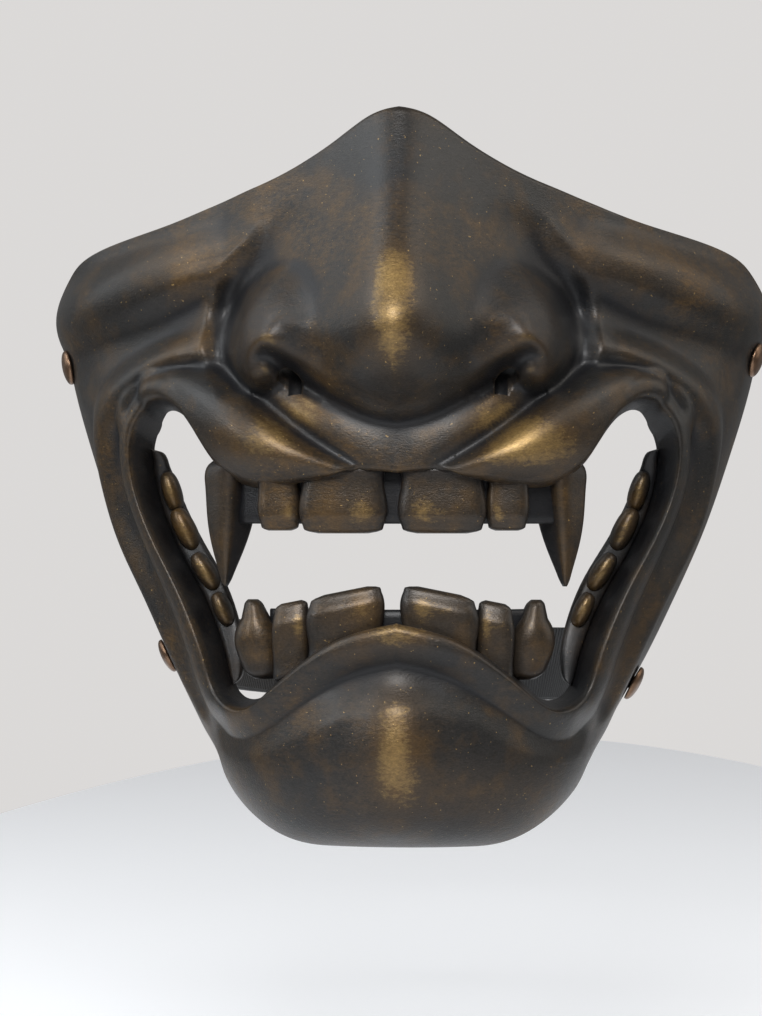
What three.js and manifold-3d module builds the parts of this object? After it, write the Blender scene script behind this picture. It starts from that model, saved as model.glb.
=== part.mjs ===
import * as THREE from "three";
import { mergeVertices } from "three/addons/utils/BufferGeometryUtils.js";
import Module from "manifold-3d";

const wasm = await Module();
wasm.setup();

// Driving dimensions in millimetres. The face looks to -Y, +X is the right of a viewer in front, +Z is up.
const faceWidth = 172;
const faceHeight = 166;
const faceDepth = 95;
const mouthWidth = 122;
const mouthHeight = 70;
const noseRise = 28.6;
const reliefRise = 1;
const wallThickness = 3.4;
const lipRoll = 1.8;
const mouthWall = 10;
const seatHeight = 70;
const clearance = 0.3;

const toothDepth = 7;
const gumThickness = 4;
const gumHeight = 10;

const rivetHeadRadius = 4.2;
const rivetHeadHeight = 1.9;
const rivetShankRadius = 1.6;
const rivetCapRadius = 4.2;
const rivetCapThickness = 1.2;

const strapWidth = 20;
const strapThickness = 2;
const strapGap = 0.45;
const strapTab = 9;
const strapBulge = 4;
const upperStrapReach = 126;
const upperStrapTilt = 16;
const lowerStrapReach = 118;
const lowerStrapTilt = -4.5;

// How finely the shell is meshed: round the mouth, out to the edge, back along the inner face.
const stepsRound = 104;
const stepsOut = 22;
const stepsInside = 6;
const rollSteps = 2;

// The tables count in parts. The face has 172 parts across, 166 down and 95 through; the mouth 122 and 70.
const partAcross = faceWidth / 172;
const partDown = faceHeight / 166;
const partThrough = faceDepth / 95;
const mouthAcross = mouthWidth / 122;
const mouthDown = mouthHeight / 70;
const noseUnit = noseRise / 28.6;

function table(columns, rows) {
  const made = {};
  columns.forEach((name, index) => {
    made[name] = rows.map((row) => row[index]);
  });
  return made;
}

// Sections of the plain face, from the brow down to the turn under the chin.
const stations = table(
  ["drop", "height", "front", "half", "back", "pinch"],
  [
    [-100, 100, -29, 84, 20, 1.3],
    [-80, 80, -34, 85, 19, 1.3],
    [-62, 62, -40, 86, 18, 1.28],
    [-45, 45, -46, 86, 18, 1.22],
    [-30, 30, -51, 83.5, 18, 1.12],
    [-12, 12, -54, 78, 16.5, 1.05],
    [6, -6, -55, 71.5, 14, 1.02],
    [22, -22, -55.5, 64, 9, 1],
    [38, -38, -58, 55.5, 2, 0.98],
    [52, -52, -60, 47, -8, 0.95],
    [64, -64, -57.5, 40.5, -18, 0.93],
    [75, -72.5, -50.5, 32.5, -24, 0.92],
    [85, -76, -41, 26, -28, 0.92],
    [95, -76.5, -31, 20, -30, 0.92],
  ],
);

// Half the mouth, from the middle of the upper lip to the middle of the lower one. Each row also holds the
// share of the lip's roll and of the mouth's wall, how far that wall leans in, and where the shell ends.
const mouthRows = table(
  ["x", "z", "roll", "wall", "lean", "edgeAngle", "edgeDrop"],
  [
    [0, 7.4, 0.9, 0.7, -0.15, 0, -89],
    [9.5, 7.8, 0.9, 0.7, -0.15, 4.6, -87.2],
    [19.5, 5.2, 1.2, 0.7, -0.15, 9.8, -82.2],
    [29, 3.4, 1.55, 0.7, -0.1, 15.2, -77.6],
    [36.5, 5, 1.55, 0.7, 0, 20.4, -74.2],
    [42.5, 9.8, 1.35, 0.7, 0, 26.2, -71.4],
    [46, 16, 1.1, 0.7, 0.05, 32.4, -68.6],
    [49.5, 21.8, 0.9, 0.8, 0.15, 40, -65.6],
    [54.5, 24.8, 0.85, 0.9, 0.35, 50.5, -63],
    [59, 22, 0.85, 1.1, 0.6, 63, -60.2],
    [60.9, 15.7, 0.85, 1.3, 0.7, 76, -54.5],
    [59.6, 6, 0.85, 1.3, 0.75, 86.5, -41],
    [55.6, -4.8, 0.85, 1.2, 0.75, 88.5, -23],
    [51, -14.2, 0.85, 1.1, 0.7, 88.5, -6],
    [47, -23.3, 0.9, 1, 0.65, 88.5, 10],
    [43.8, -32.3, 0.95, 0.9, 0.6, 88.5, 25],
    [41.2, -40.2, 1, 0.8, 0.55, 88, 40],
    [36.6, -43.8, 1, 0.8, 0.45, 84, 56],
    [30.8, -40.6, 1, 0.8, 0.25, 72, 70],
    [22.2, -33.8, 1, 0.8, 0.05, 52, 82],
    [12, -28, 1, 0.8, -0.05, 26, 91],
    [0, -25, 1, 0.8, -0.05, 0, 94],
  ],
);

// The nose over the plain face: its rise and its half reach at each height, and the crease under it.
const noseRows = table(
  ["z", "rise", "reach"],
  [
    [10, 20, 33],
    [22, 24, 33],
    [31, 26.5, 33],
    [38, 28.6, 34],
    [44, 28.6, 35],
    [50, 26, 36],
    [57, 22.6, 37],
    [67, 19, 38],
    [78, 16.5, 39],
    [88, 14.5, 40],
    [100, 12, 40],
  ],
);
const noseFoot = table(
  ["x", "z"],
  [[0, 18.5], [6, 19.6], [14, 23.4], [20, 26.6], [24.5, 27.8], [28, 26], [32, 25], [35.5, 27.5], [38, 32], [42, 38]],
);
const noseWing = { x: 26, z: 37.5, across: 13.6, down: 17, rise: 14.2, power: 0.85, blend: 11 };
const noseBody = { power: 2.1, ridgeShare: 0.2, ridgeWidth: 9, fadeFrom: 33, fadeTo: 42 };
const noseUnder = { slope: 1.55, sharpest: 1, blend: 11 };

// Ridges and valleys drawn over the face, each a line of points with its rise and its half width there.
const strokeColumns = ["x", "z", "rise", "width"];
const strokes = [
  {
    name: "cheekbone", shape: "soft", follows: "face",
    rows: [[36, 59, 0.6, 8], [46, 56.5, 2.6, 10], [58, 53, 3.8, 11], [70, 49.5, 4, 11], [79, 47, 3.2, 11],
      [86, 45, 2.2, 11]],
  },
  {
    name: "cheekHollow", shape: "soft", follows: "face",
    rows: [[41, 46, -2.2, 8], [48, 44, -3, 9], [58, 40, -3, 9], [68, 36, -2.2, 10], [77, 33, -1.2, 10]],
  },
  {
    name: "jawFold", shape: "soft", follows: "face",
    rows: [[52, 35, 1.4, 7], [62, 31, 2.2, 8], [70, 21, 2.6, 9], [70, 8, 2.6, 9], [66, -6, 2.6, 9],
      [60, -18, 2.4, 9], [54.5, -30, 2.2, 8], [50, -41, 1.6, 8], [46, -52, 0.8, 8]],
  },
  {
    name: "wingGroove", shape: "soft", follows: "face",
    rows: [[25, 63, -0.6, 7], [29.5, 59, -2.4, 8], [34, 53, -4.4, 8], [38, 46.5, -5, 7.5], [40.3, 40, -4.4, 6.5],
      [40, 34, -3.4, 5.5], [36.5, 27.5, -2, 4]],
  },
  {
    name: "lipLobe", shape: "dome", follows: "mouth",
    rows: [[9, 7.4, 0.4, 1.4], [15, 9, 2.4, 3.4], [21, 10.6, 4.6, 5.6], [29, 13, 6.6, 8.4], [37, 17.2, 7.4, 9.6],
      [44.5, 22.4, 6.4, 8.6], [51, 26.6, 4.4, 5.8], [57, 27.6, 2.4, 4]],
  },
  {
    name: "lobeCrease", shape: "sharp", follows: "mouth",
    rows: [[8, 9, -0.6, 2.2], [15, 12.6, -1.6, 3], [22, 17, -2.2, 3.4], [29, 22.4, -2.4, 3.4], [34, 27, -2.2, 3.2],
      [38.5, 30.6, -1.8, 3.2], [43.2, 32.6, -1.6, 3.2], [52, 31.6, -1.6, 3.2], [58.6, 28.4, -1.4, 3.4],
      [62.6, 23, -1, 3.6]],
  },
  {
    name: "philtrum", shape: "soft", follows: "face",
    rows: [[6, 13, 0.5, 7], [14, 17, 1, 7], [22, 21.5, 0.5, 6]],
  },
  {
    name: "noseLip", shape: "soft", follows: "face",
    rows: [[0, 20.2, 0.7, 2.4], [6, 21.2, 0.7, 2.4], [13, 24.6, 0.7, 2.4], [18.5, 27.6, 0.5, 2.2], [22, 29.2, 0.1, 2]],
  },
  {
    name: "nostril", shape: "soft", follows: "face",
    rows: [[29.6, 33.6, -0.6, 2.2], [27.6, 32.8, -2.6, 2.8], [24.6, 30.6, -3.6, 3.2], [21, 28, -3, 2.8],
      [17, 25.4, -1, 2.2]],
  },
  {
    name: "nostrilRim", shape: "soft", follows: "face",
    rows: [[33, 33.5, 0.5, 3], [29.5, 37, 1.2, 3.4], [25, 35.4, 1.2, 3.2], [19, 32, 0.6, 3]],
  },
  {
    name: "mouthRim", shape: "dome", follows: "mouth",
    rows: [[50.5, 23.6, 0.3, 2.5], [54.6, 26.3, 1, 4], [60.6, 23, 2, 5.5], [62.5, 15.8, 2.6, 6.5],
      [61.2, 6, 2.8, 7], [57.2, -5.2, 2.8, 7], [52.6, -14.8, 2.8, 7], [48.6, -24, 2.8, 7], [45.4, -33, 2.8, 7],
      [42.8, -41.4, 2.6, 6.6], [37.2, -45.6, 2.6, 6.2], [30.4, -42.4, 2.6, 6.4], [21.4, -35.6, 2.7, 6.8],
      [11.6, -29.8, 2.8, 7.2], [0, -26.8, 2.8, 7.4]],
  },
  {
    name: "rimValley", shape: "soft", follows: "mouth",
    rows: [[67, 16, -0.6, 5], [67.5, 5, -1, 6], [63.5, -6, -1.2, 6], [58.5, -17, -1.2, 6], [54, -27, -1.2, 6],
      [50.5, -36, -1.2, 6], [46.5, -45, -1.2, 6]],
  },
  {
    name: "lipCrease", shape: "soft", follows: "mouth",
    rows: [[40, -51, -1, 6], [32, -49.5, -1.4, 7], [24, -44, -1.8, 8], [13, -38.6, -2, 8], [0, -36.4, -2, 8]],
  },
  {
    name: "mouthCorner", shape: "soft", follows: "mouth",
    rows: [[41, -48, -0.8, 5], [44, -54, -1.4, 7], [43, -62, -0.8, 8]],
  },
  {
    name: "chinRidge", shape: "soft", follows: "face",
    rows: [[0, -38, 0.4, 8], [0, -46, 1.6, 11], [0, -55, 1.8, 13], [0, -66, 1, 13]],
  },
];

// Teeth, in parts of the mouth from its middle line. A tooth runs from its root to its tip.
const toothColumns = [
  "rootX", "rootZ", "tipX", "tipZ", "front", "rootHalf", "midHalf", "tipHalf", "deep", "square",
];
const upperTeeth = table(toothColumns, [
  [10.9, 9.5, 10.9, -5.6, -53, 9.2, 9.7, 9.3, 1, 5],
  [25.4, 8, 25.1, -5, -51, 4.7, 4.8, 4.3, 1, 4],
  [36, 12, 38, -17.5, -47, 8, 5.6, 0.9, 1.7, 1.7],
]);
const lowerTeeth = table(toothColumns, [
  [10.4, -33, 10.3, -18.2, -54, 8.3, 8.6, 8.2, 1, 5],
  [22.4, -38, 22.6, -20.8, -51.5, 4.1, 4.3, 3.8, 1, 4],
  [28.8, -38, 31.6, -20.4, -48.5, 5, 6, 2.8, 1.5, 2.2],
]);
const toothShift = -1.1;
const toothGap = 0.4;

// Side teeth: the place of each round the mouth, how far it stands in from the wall's end, and its half sizes.
const cheekTeeth = table(["place", "inward", "halfWide", "halfTall"], [
  [10.55, 3, 2.3, 4.8],
  [11.5, 3, 2.6, 5.5],
  [12.65, 2.7, 2.4, 5.1],
  [13.7, 2.5, 2.2, 4.2],
]);
const cheekGum = { from: 9.3, to: 15.8, gap: 0.7, reach: 4.6, front: 3, back: 0.2, rounding: 0.35, least: 0.2 };

// The breathing holes in the nose: their places in front, half sizes and slant.
const nostril = { x: 24, z: 29.8, halfWide: 3.1, halfTall: 1.6, slant: 35, rise: 55, ahead: 5, deep: 9 };

// Each rivet: its side, its height on the face, how far it stands in front of the shell's rear edge and the
// tilt of the strap that it holds.
const rivets = [
  { name: "rivet_upper_left", side: -1, z: 34.5, inset: 10, tilt: upperStrapTilt },
  { name: "rivet_upper_right", side: 1, z: 36, inset: 10, tilt: upperStrapTilt },
  { name: "rivet_lower_left", side: -1, z: -35, inset: 9, tilt: lowerStrapTilt },
  { name: "rivet_lower_right", side: 1, z: -41, inset: 9, tilt: lowerStrapTilt },
];

// A natural cubic spline through one column of a table.
function splineOf(knots, values) {
  const count = knots.length;
  const diagonal = new Array(count).fill(1);
  const upper = new Array(count).fill(0);
  const right = new Array(count).fill(0);
  for (let i = 1; i < count - 1; i += 1) {
    const before = knots[i] - knots[i - 1];
    const after = knots[i + 1] - knots[i];
    const rise = (values[i + 1] - values[i]) / after - (values[i] - values[i - 1]) / before;
    const pivot = 2 * (before + after) - before * upper[i - 1];
    diagonal[i] = pivot;
    upper[i] = after / pivot;
    right[i] = (6 * rise - before * right[i - 1]) / pivot;
  }
  const bend = new Array(count).fill(0);
  for (let i = count - 2; i > 0; i -= 1) {
    bend[i] = right[i] - upper[i] * bend[i + 1];
  }
  return (at) => {
    const value = Math.min(Math.max(at, knots[0]), knots[count - 1]);
    let k = 0;
    while (k < count - 2 && value >= knots[k + 1]) {
      k += 1;
    }
    const span = knots[k + 1] - knots[k];
    const a = (knots[k + 1] - value) / span;
    const b = (value - knots[k]) / span;
    const curve = (a ** 3 - a) * bend[k] + (b ** 3 - b) * bend[k + 1];
    return a * values[k] + b * values[k + 1] + (curve * span * span) / 6;
  };
}

function clamp(value, low, high) {
  return Math.min(Math.max(value, low), high);
}

function easeBetween(low, high, value) {
  const t = clamp((value - low) / (high - low), 0, 1);
  return t * t * (3 - 2 * t);
}

function softMin(a, b, blend) {
  const h = clamp(0.5 + (0.5 * (b - a)) / blend, 0, 1);
  return b + (a - b) * h - blend * h * (1 - h);
}

function softMax(a, b, blend) {
  return -softMin(-a, -b, blend);
}

const station = {
  height: splineOf(stations.drop, stations.height),
  front: splineOf(stations.drop, stations.front),
  half: splineOf(stations.drop, stations.half),
  back: splineOf(stations.drop, stations.back),
  pinch: splineOf(stations.drop, stations.pinch),
};

// The plain face at an angle from its middle line and a drop down the middle line.
function facePoint(angle, drop) {
  const front = station.front(drop);
  const turn = 1 - Math.max(Math.cos(angle), 1e-6) ** station.pinch(drop);
  return new THREE.Vector3(
    station.half(drop) * Math.sin(angle) * partAcross,
    (front + (station.back(drop) - front) * turn) * partThrough,
    station.height(drop) * partDown,
  );
}

function faceNormal(angle, drop) {
  const small = 1e-3;
  const round = facePoint(angle + small, drop).sub(facePoint(angle - small, drop));
  const down = facePoint(angle, drop + small * 10).sub(facePoint(angle, drop - small * 10));
  return down.cross(round).normalize();
}

// The drop and angle of the face point that a viewer in front sees at x, z.
function seenFrom(x, z) {
  const drop = -z / partDown;
  const half = station.half(drop) * partAcross;
  return { drop, angle: Math.asin(clamp(x / half, -0.999, 0.999)) };
}

const noseSpline = { rise: splineOf(noseRows.z, noseRows.rise), reach: splineOf(noseRows.z, noseRows.reach) };
const footSpline = splineOf(noseFoot.x, noseFoot.z);

function noseHeight(x, z) {
  const across = Math.abs(x) / partAcross;
  const up = z / partDown;
  const foot = footSpline(across);
  if (up < foot) {
    return 0;
  }
  const share = 1 - (across / noseSpline.reach(up)) ** 2;
  const body = (1 - noseBody.ridgeShare) * Math.max(share, 0) ** noseBody.power;
  const ridge = noseBody.ridgeShare * Math.exp(-((across / noseBody.ridgeWidth) ** 2));
  const bridge = noseSpline.rise(up) * (body + ridge);
  const wingShare = 1 - ((across - noseWing.x) / noseWing.across) ** 2 - ((up - noseWing.z) / noseWing.down) ** 2;
  const wing = noseWing.rise * Math.max(wingShare, 0) ** noseWing.power;
  const fade = 1 - easeBetween(noseBody.fadeFrom, noseBody.fadeTo, across);
  const form = softMax(bridge, wing, noseWing.blend) * fade;
  const under = noseUnder.slope * (up - foot);
  return Math.max(softMin(form, under, clamp(under, noseUnder.sharpest, noseUnder.blend)), 0) * noseUnit;
}

const strokeFine = 6;
const strokeSoftness = 2.2 * partAcross;

function layStroke(stroke) {
  const columns = table(strokeColumns, stroke.rows);
  const knots = stroke.rows.map((row, index) => index);
  const lines = strokeColumns.map((name) => splineOf(knots, columns[name]));
  const unitX = stroke.follows === "mouth" ? mouthAcross : partAcross;
  const unitZ = stroke.follows === "mouth" ? mouthDown : partDown;
  const samples = [];
  const count = (knots.length - 1) * strokeFine;
  for (let i = 0; i <= count; i += 1) {
    const [x, z, rise, width] = lines.map((line) => line(i / strokeFine));
    const seen = seenFrom(x * unitX, z * unitZ);
    const wide = width * Math.min(unitX, unitZ);
    samples.push({ point: facePoint(seen.angle, seen.drop), rise: rise * reliefRise, width: wide });
  }
  return { shape: stroke.shape, samples };
}

const laidStrokes = strokes.map(layStroke);

const sharpPower = 1.6;
const strokeShapes = {
  soft: (r) => (1 - r * r) ** 2,
  dome: (r) => 1 - r * r,
  sharp: (r) => (1 - r) ** sharpPower,
};

function strokeHeight(point, stroke) {
  const mirrored = new THREE.Vector3(Math.abs(point.x), point.y, point.z);
  const squares = stroke.samples.map((sample) => sample.point.distanceToSquared(mirrored));
  const least = Math.min(...squares);
  let weights = 0;
  let rise = 0;
  let width = 0;
  stroke.samples.forEach((sample, index) => {
    const weight = Math.exp(-(squares[index] - least) / (2 * strokeSoftness ** 2));
    weights += weight;
    rise += weight * sample.rise;
    width += weight * sample.width;
  });
  const r = clamp((Math.sqrt(least) * weights) / width, 0, 1);
  return (rise / weights) * strokeShapes[stroke.shape](r);
}

function reliefHeight(point) {
  let total = noseHeight(point.x, point.z);
  for (const stroke of laidStrokes) {
    total += strokeHeight(point, stroke);
  }
  return total;
}

// Relief rises straight forward in the middle of the face and square to the wall at its sides and chin.
const liftTurn = { from: 30, to: 72, lowFrom: 50, lowTo: 74 };
const forward = new THREE.Vector3(0, -1, 0);
const backward = new THREE.Vector3(0, 1, 0);

function liftDirection(point, normal) {
  const side = easeBetween(liftTurn.from, liftTurn.to, Math.abs(point.x) / partAcross);
  const low = easeBetween(liftTurn.lowFrom, liftTurn.lowTo, -point.z / partDown);
  return forward.clone().lerp(normal, Math.max(side, low)).normalize();
}

const mouthKnots = mouthRows.x.map((value, index) => index);
const mouthSpline = {};
for (const name of Object.keys(mouthRows)) {
  mouthSpline[name] = splineOf(mouthKnots, mouthRows[name]);
}

// Places round half the mouth, spread evenly by the mean of the mouth's length and the outer edge's.
const fine = 1200;

function placesRound(count) {
  const last = mouthKnots.length - 1;
  const mouthLengths = [0];
  const edgeLengths = [0];
  let mouthBefore = null;
  let edgeBefore = null;
  for (let i = 0; i <= fine; i += 1) {
    const at = (i / fine) * last;
    const mouth = new THREE.Vector2(mouthSpline.x(at), mouthSpline.z(at));
    const edge = facePoint(THREE.MathUtils.degToRad(mouthSpline.edgeAngle(at)), mouthSpline.edgeDrop(at));
    if (i > 0) {
      mouthLengths.push(mouthLengths[i - 1] + mouth.distanceTo(mouthBefore));
      edgeLengths.push(edgeLengths[i - 1] + edge.distanceTo(edgeBefore));
    }
    mouthBefore = mouth;
    edgeBefore = edge;
  }
  const share = mouthLengths.map((length, i) => (length / mouthLengths[fine] + edgeLengths[i] / edgeLengths[fine]) / 2);
  const places = [];
  let k = 0;
  for (let i = 0; i <= count; i += 1) {
    const wanted = i / count;
    while (k < fine - 1 && share[k + 1] < wanted) {
      k += 1;
    }
    const within = (wanted - share[k]) / (share[k + 1] - share[k]);
    places.push(((k + clamp(within, 0, 1)) / fine) * last);
  }
  return places;
}

// One spoke of the shell: where it starts on the mouth's crest and where it ends on the outer edge.
function spokeAt(place, side) {
  const small = 0.02;
  const tangent = new THREE.Vector2(
    (mouthSpline.x(place + small) - mouthSpline.x(place - small)) * mouthAcross,
    (mouthSpline.z(place + small) - mouthSpline.z(place - small)) * mouthDown,
  ).normalize();
  const roll = mouthSpline.roll(place) * lipRoll;
  const x = Math.max(mouthSpline.x(place) * mouthAcross - roll * tangent.y, 0);
  const z = mouthSpline.z(place) * mouthDown + roll * tangent.x;
  const start = seenFrom(side === 0 ? 0 : x, z);
  const end = side === 0 ? 0 : THREE.MathUtils.degToRad(mouthSpline.edgeAngle(place));
  const sign = side === 0 ? 1 : side;
  return {
    startAngle: start.angle * sign,
    startDrop: start.drop,
    endAngle: end * sign,
    endDrop: mouthSpline.edgeDrop(place),
    roll,
    depth: mouthSpline.wall(place) * mouthWall,
    lean: mouthSpline.lean(place),
  };
}

function spokesRound() {
  const halfCount = stepsRound / 2;
  const places = placesRound(halfCount);
  const spokes = places.map((place, index) => spokeAt(place, index % halfCount === 0 ? 0 : 1));
  for (let i = halfCount - 1; i > 0; i -= 1) {
    spokes.push(spokeAt(places[i], -1));
  }
  return spokes;
}

const outwardPower = 1.25;
const spokes = spokesRound();
const outwardShares = Array.from({ length: stepsOut + 1 }, (unused, k) => (k / stepsOut) ** outwardPower);

// The face under every crossing of a spoke with a share of the way out.
const faceGrid = spokes.map((spoke) => outwardShares.map((share) => {
  const angle = THREE.MathUtils.lerp(spoke.startAngle, spoke.endAngle, share);
  const drop = THREE.MathUtils.lerp(spoke.startDrop, spoke.endDrop, share);
  const base = facePoint(angle, drop);
  const normal = faceNormal(angle, drop);
  return { base, normal, lift: liftDirection(base, normal), height: reliefHeight(base) };
}));

// The relief is evened between neighbours, so that a crease finer than the grid stays a clean groove.
const evenWeights = [0.25, 0.5, 0.25];

function evenRelief() {
  const round = faceGrid.length;
  const raw = faceGrid.map((row) => row.map((cell) => cell.height));
  faceGrid.forEach((row, i) => row.forEach((cell, k) => {
    let sum = 0;
    for (let di = -1; di <= 1; di += 1) {
      for (let dk = -1; dk <= 1; dk += 1) {
        const near = raw[(i + di + round) % round][clamp(k + dk, 0, stepsOut)];
        sum += near * evenWeights[di + 1] * evenWeights[dk + 1];
      }
    }
    cell.height = sum;
  }));
}

evenRelief();

// The lowest relief near each crossing, evened out, is what the inner face follows.
function innerHeights() {
  const round = faceGrid.length;
  const lowest = faceGrid.map((row, i) => row.map((cell, k) => {
    let low = Infinity;
    for (let di = -1; di <= 1; di += 1) {
      for (let dk = -1; dk <= 1; dk += 1) {
        const near = faceGrid[(i + di + round) % round][clamp(k + dk, 0, stepsOut)];
        low = Math.min(low, near.height);
      }
    }
    return low;
  }));
  return lowest.map((row, i) => row.map((value, k) => {
    let sum = 0;
    for (let di = -1; di <= 1; di += 1) {
      for (let dk = -1; dk <= 1; dk += 1) {
        sum += lowest[(i + di + round) % round][clamp(k + dk, 0, stepsOut)];
      }
    }
    return sum / 9;
  }));
}

const flattest = 0.6;
const innerStart = 0.16;
const innerPower = 1.1;
const edgeRound = 0.6;
const endRound = 0.7;
const wallBackShare = 0.4;

function shellRing(spoke, cells, heights, wall) {
  const ring = [];
  const outer = cells.map((cell) => cell.base.clone().addScaledVector(cell.lift, cell.height));
  for (let k = stepsOut; k >= 0; k -= 1) {
    ring.push(outer[k]);
  }
  const inward = outer[0].clone().sub(outer[1]).normalize();
  const flat = inward.clone().addScaledVector(backward, -inward.dot(backward)).normalize();
  const down = backward.clone().addScaledVector(flat, spoke.lean).normalize();
  for (let k = 1; k <= rollSteps; k += 1) {
    const turn = (k / rollSteps) * (Math.PI / 2);
    const point = outer[0].clone().addScaledVector(inward, spoke.roll * Math.sin(turn));
    ring.push(point.addScaledVector(down, spoke.roll * (1 - Math.cos(turn))));
  }
  const end = ring[ring.length - 1].clone().addScaledVector(down, spoke.depth);
  const out = flat.clone().negate().addScaledVector(down, flat.dot(down)).normalize();
  ring.push(end);
  ring.push(end.clone().addScaledVector(out, wall / 2).addScaledVector(down, endRound));
  ring.push(end.clone().addScaledVector(out, wall));
  const rise = Math.max(spoke.depth - wall * wallBackShare, 1);
  ring.push(end.clone().addScaledVector(out, wall).addScaledVector(down, -rise));
  const inner = cells.map((cell, k) => {
    const stretch = 1 / clamp(cell.lift.dot(cell.normal), flattest, 1);
    return cell.base.clone().addScaledVector(cell.lift, heights[k] - wall * stretch);
  });
  for (let k = 0; k < stepsInside; k += 1) {
    const share = innerStart + (1 - innerStart) * (k / (stepsInside - 1)) ** innerPower;
    let low = 0;
    while (low < stepsOut - 1 && outwardShares[low + 1] < share) {
      low += 1;
    }
    const within = (share - outwardShares[low]) / (outwardShares[low + 1] - outwardShares[low]);
    ring.push(inner[low].clone().lerp(inner[low + 1], within));
  }
  const edge = outer[stepsOut].clone().sub(outer[stepsOut - 1]).normalize();
  const middle = ring[ring.length - 1].clone().lerp(outer[stepsOut], 0.5);
  ring.push(middle.addScaledVector(edge, edgeRound));
  return ring;
}

// Two triangles for a four sided face. The right half of the mask has the mirrored diagonal of the left half.
function quad(a, b, c, d, spoke, round) {
  return spoke < round / 2 ? [a, b, d, b, c, d] : [a, b, c, a, c, d];
}

// Rings of points that close on themselves both ways, as a bent tube does.
function closedRings(rings) {
  const round = rings.length;
  const around = rings[0].length;
  const positions = rings.flat().flatMap((point) => [point.x, point.y, point.z]);
  const faces = [];
  for (let i = 0; i < round; i += 1) {
    const j = (i + 1) % round;
    for (let k = 0; k < around; k += 1) {
      const m = (k + 1) % around;
      faces.push(...quad(i * around + k, i * around + m, j * around + m, j * around + k, i, round));
    }
  }
  return solidOf(positions, faces);
}

// Rings of points along a path, closed by a fan at both ends.
function lofted(rings) {
  const around = rings[0].length;
  const points = rings.flat();
  const faces = [];
  for (let i = 0; i < rings.length - 1; i += 1) {
    for (let k = 0; k < around; k += 1) {
      const m = (k + 1) % around;
      const a = i * around;
      const b = (i + 1) * around;
      faces.push(a + k, a + m, b + m);
      faces.push(a + k, b + m, b + k);
    }
  }
  const first = rings[0].reduce((sum, point) => sum.add(point), new THREE.Vector3()).divideScalar(around);
  const last = rings[rings.length - 1].reduce((sum, point) => sum.add(point), new THREE.Vector3())
    .divideScalar(around);
  points.push(first, last);
  const end = (rings.length - 1) * around;
  for (let k = 0; k < around; k += 1) {
    const m = (k + 1) % around;
    faces.push(points.length - 2, m, k);
    faces.push(points.length - 1, end + k, end + m);
  }
  return solidOf(points.flatMap((point) => [point.x, point.y, point.z]), faces);
}

// A closed geometry whose faces point out, whichever way its rings were laid.
function solidOf(positions, faces) {
  let volume = 0;
  const corner = (index) => new THREE.Vector3().fromArray(positions, index * 3);
  for (let i = 0; i < faces.length; i += 3) {
    const [a, b, c] = [corner(faces[i]), corner(faces[i + 1]), corner(faces[i + 2])];
    volume += a.dot(b.cross(c));
  }
  const turned = [];
  for (let i = 0; i < faces.length; i += 3) {
    turned.push(faces[i], faces[volume < 0 ? i + 2 : i + 1], faces[volume < 0 ? i + 1 : i + 2]);
  }
  const geometry = new THREE.BufferGeometry();
  geometry.setAttribute("position", new THREE.Float32BufferAttribute(positions, 3));
  geometry.setIndex(turned);
  return geometry;
}

function toManifold(geometry) {
  const plain = geometry.clone();
  plain.deleteAttribute("normal");
  plain.deleteAttribute("uv");
  const merged = mergeVertices(plain, 1e-4);
  const vertProperties = new Float32Array(merged.attributes.position.array);
  const triVerts = new Uint32Array(merged.index.array);
  return new wasm.Manifold(new wasm.Mesh({ numProp: 3, vertProperties, triVerts }));
}

function fromManifold(manifold) {
  const mesh = manifold.getMesh();
  const geometry = new THREE.BufferGeometry();
  const count = mesh.vertProperties.length / mesh.numProp;
  const positions = new Float32Array(count * 3);
  for (let i = 0; i < count; i += 1) {
    for (let axis = 0; axis < 3; axis += 1) {
      positions[i * 3 + axis] = mesh.vertProperties[i * mesh.numProp + axis];
    }
  }
  geometry.setAttribute("position", new THREE.BufferAttribute(positions, 3));
  geometry.setIndex([...mesh.triVerts]);
  return geometry;
}

const relief = innerHeights();
const shellRings = spokes.map((spoke, i) => shellRing(spoke, faceGrid[i], relief[i], wallThickness));

// Triangles over a ring seen from the front, wound with the ring (1) or against it (-1).
function capFaces(ring, way) {
  const flat = ring.map((point) => new THREE.Vector2(point.x, point.z));
  const ringWay = Math.sign(THREE.ShapeUtils.area(flat)) * way;
  return THREE.ShapeUtils.triangulateShape(flat, []).flatMap(([p, q, r]) => {
    const same = Math.sign(THREE.ShapeUtils.area([flat[p], flat[q], flat[r]])) === ringWay;
    return same ? [p, q, r] : [p, r, q];
  });
}

// The open mouth as a solid, a running gap clear of its wall: what stands in the mouth is kept inside it.
function mouthPlug() {
  const footIndex = stepsOut + rollSteps;
  const rings = [[], [], [], []];
  shellRings.forEach((ring, i) => {
    const foot = ring[footIndex];
    const end = ring[footIndex + 1];
    const away = ring[footIndex + 3].clone().sub(end).setLength(-toothGap);
    const first = foot.clone().add(away);
    const last = end.clone().add(away);
    rings[0].push(first.clone().addScaledVector(forward, faceDepth / 3));
    rings[1].push(first);
    rings[2].push(last);
    rings[3].push(last.clone().addScaledVector(backward, faceDepth / 3));
  });
  const around = shellRings.length;
  const faces = [];
  for (let i = 0; i < rings.length - 1; i += 1) {
    for (let k = 0; k < around; k += 1) {
      const m = (k + 1) % around;
      const next = (i + 1) * around;
      faces.push(...quad(i * around + k, i * around + m, next + m, next + k, k, around));
    }
  }
  faces.push(...capFaces(rings[0], -1));
  faces.push(...capFaces(rings[3], 1).map((index) => index + 3 * around));
  return toManifold(solidOf(rings.flat().flatMap((point) => [point.x, point.y, point.z]), faces));
}

const plug = mouthPlug();

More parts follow.
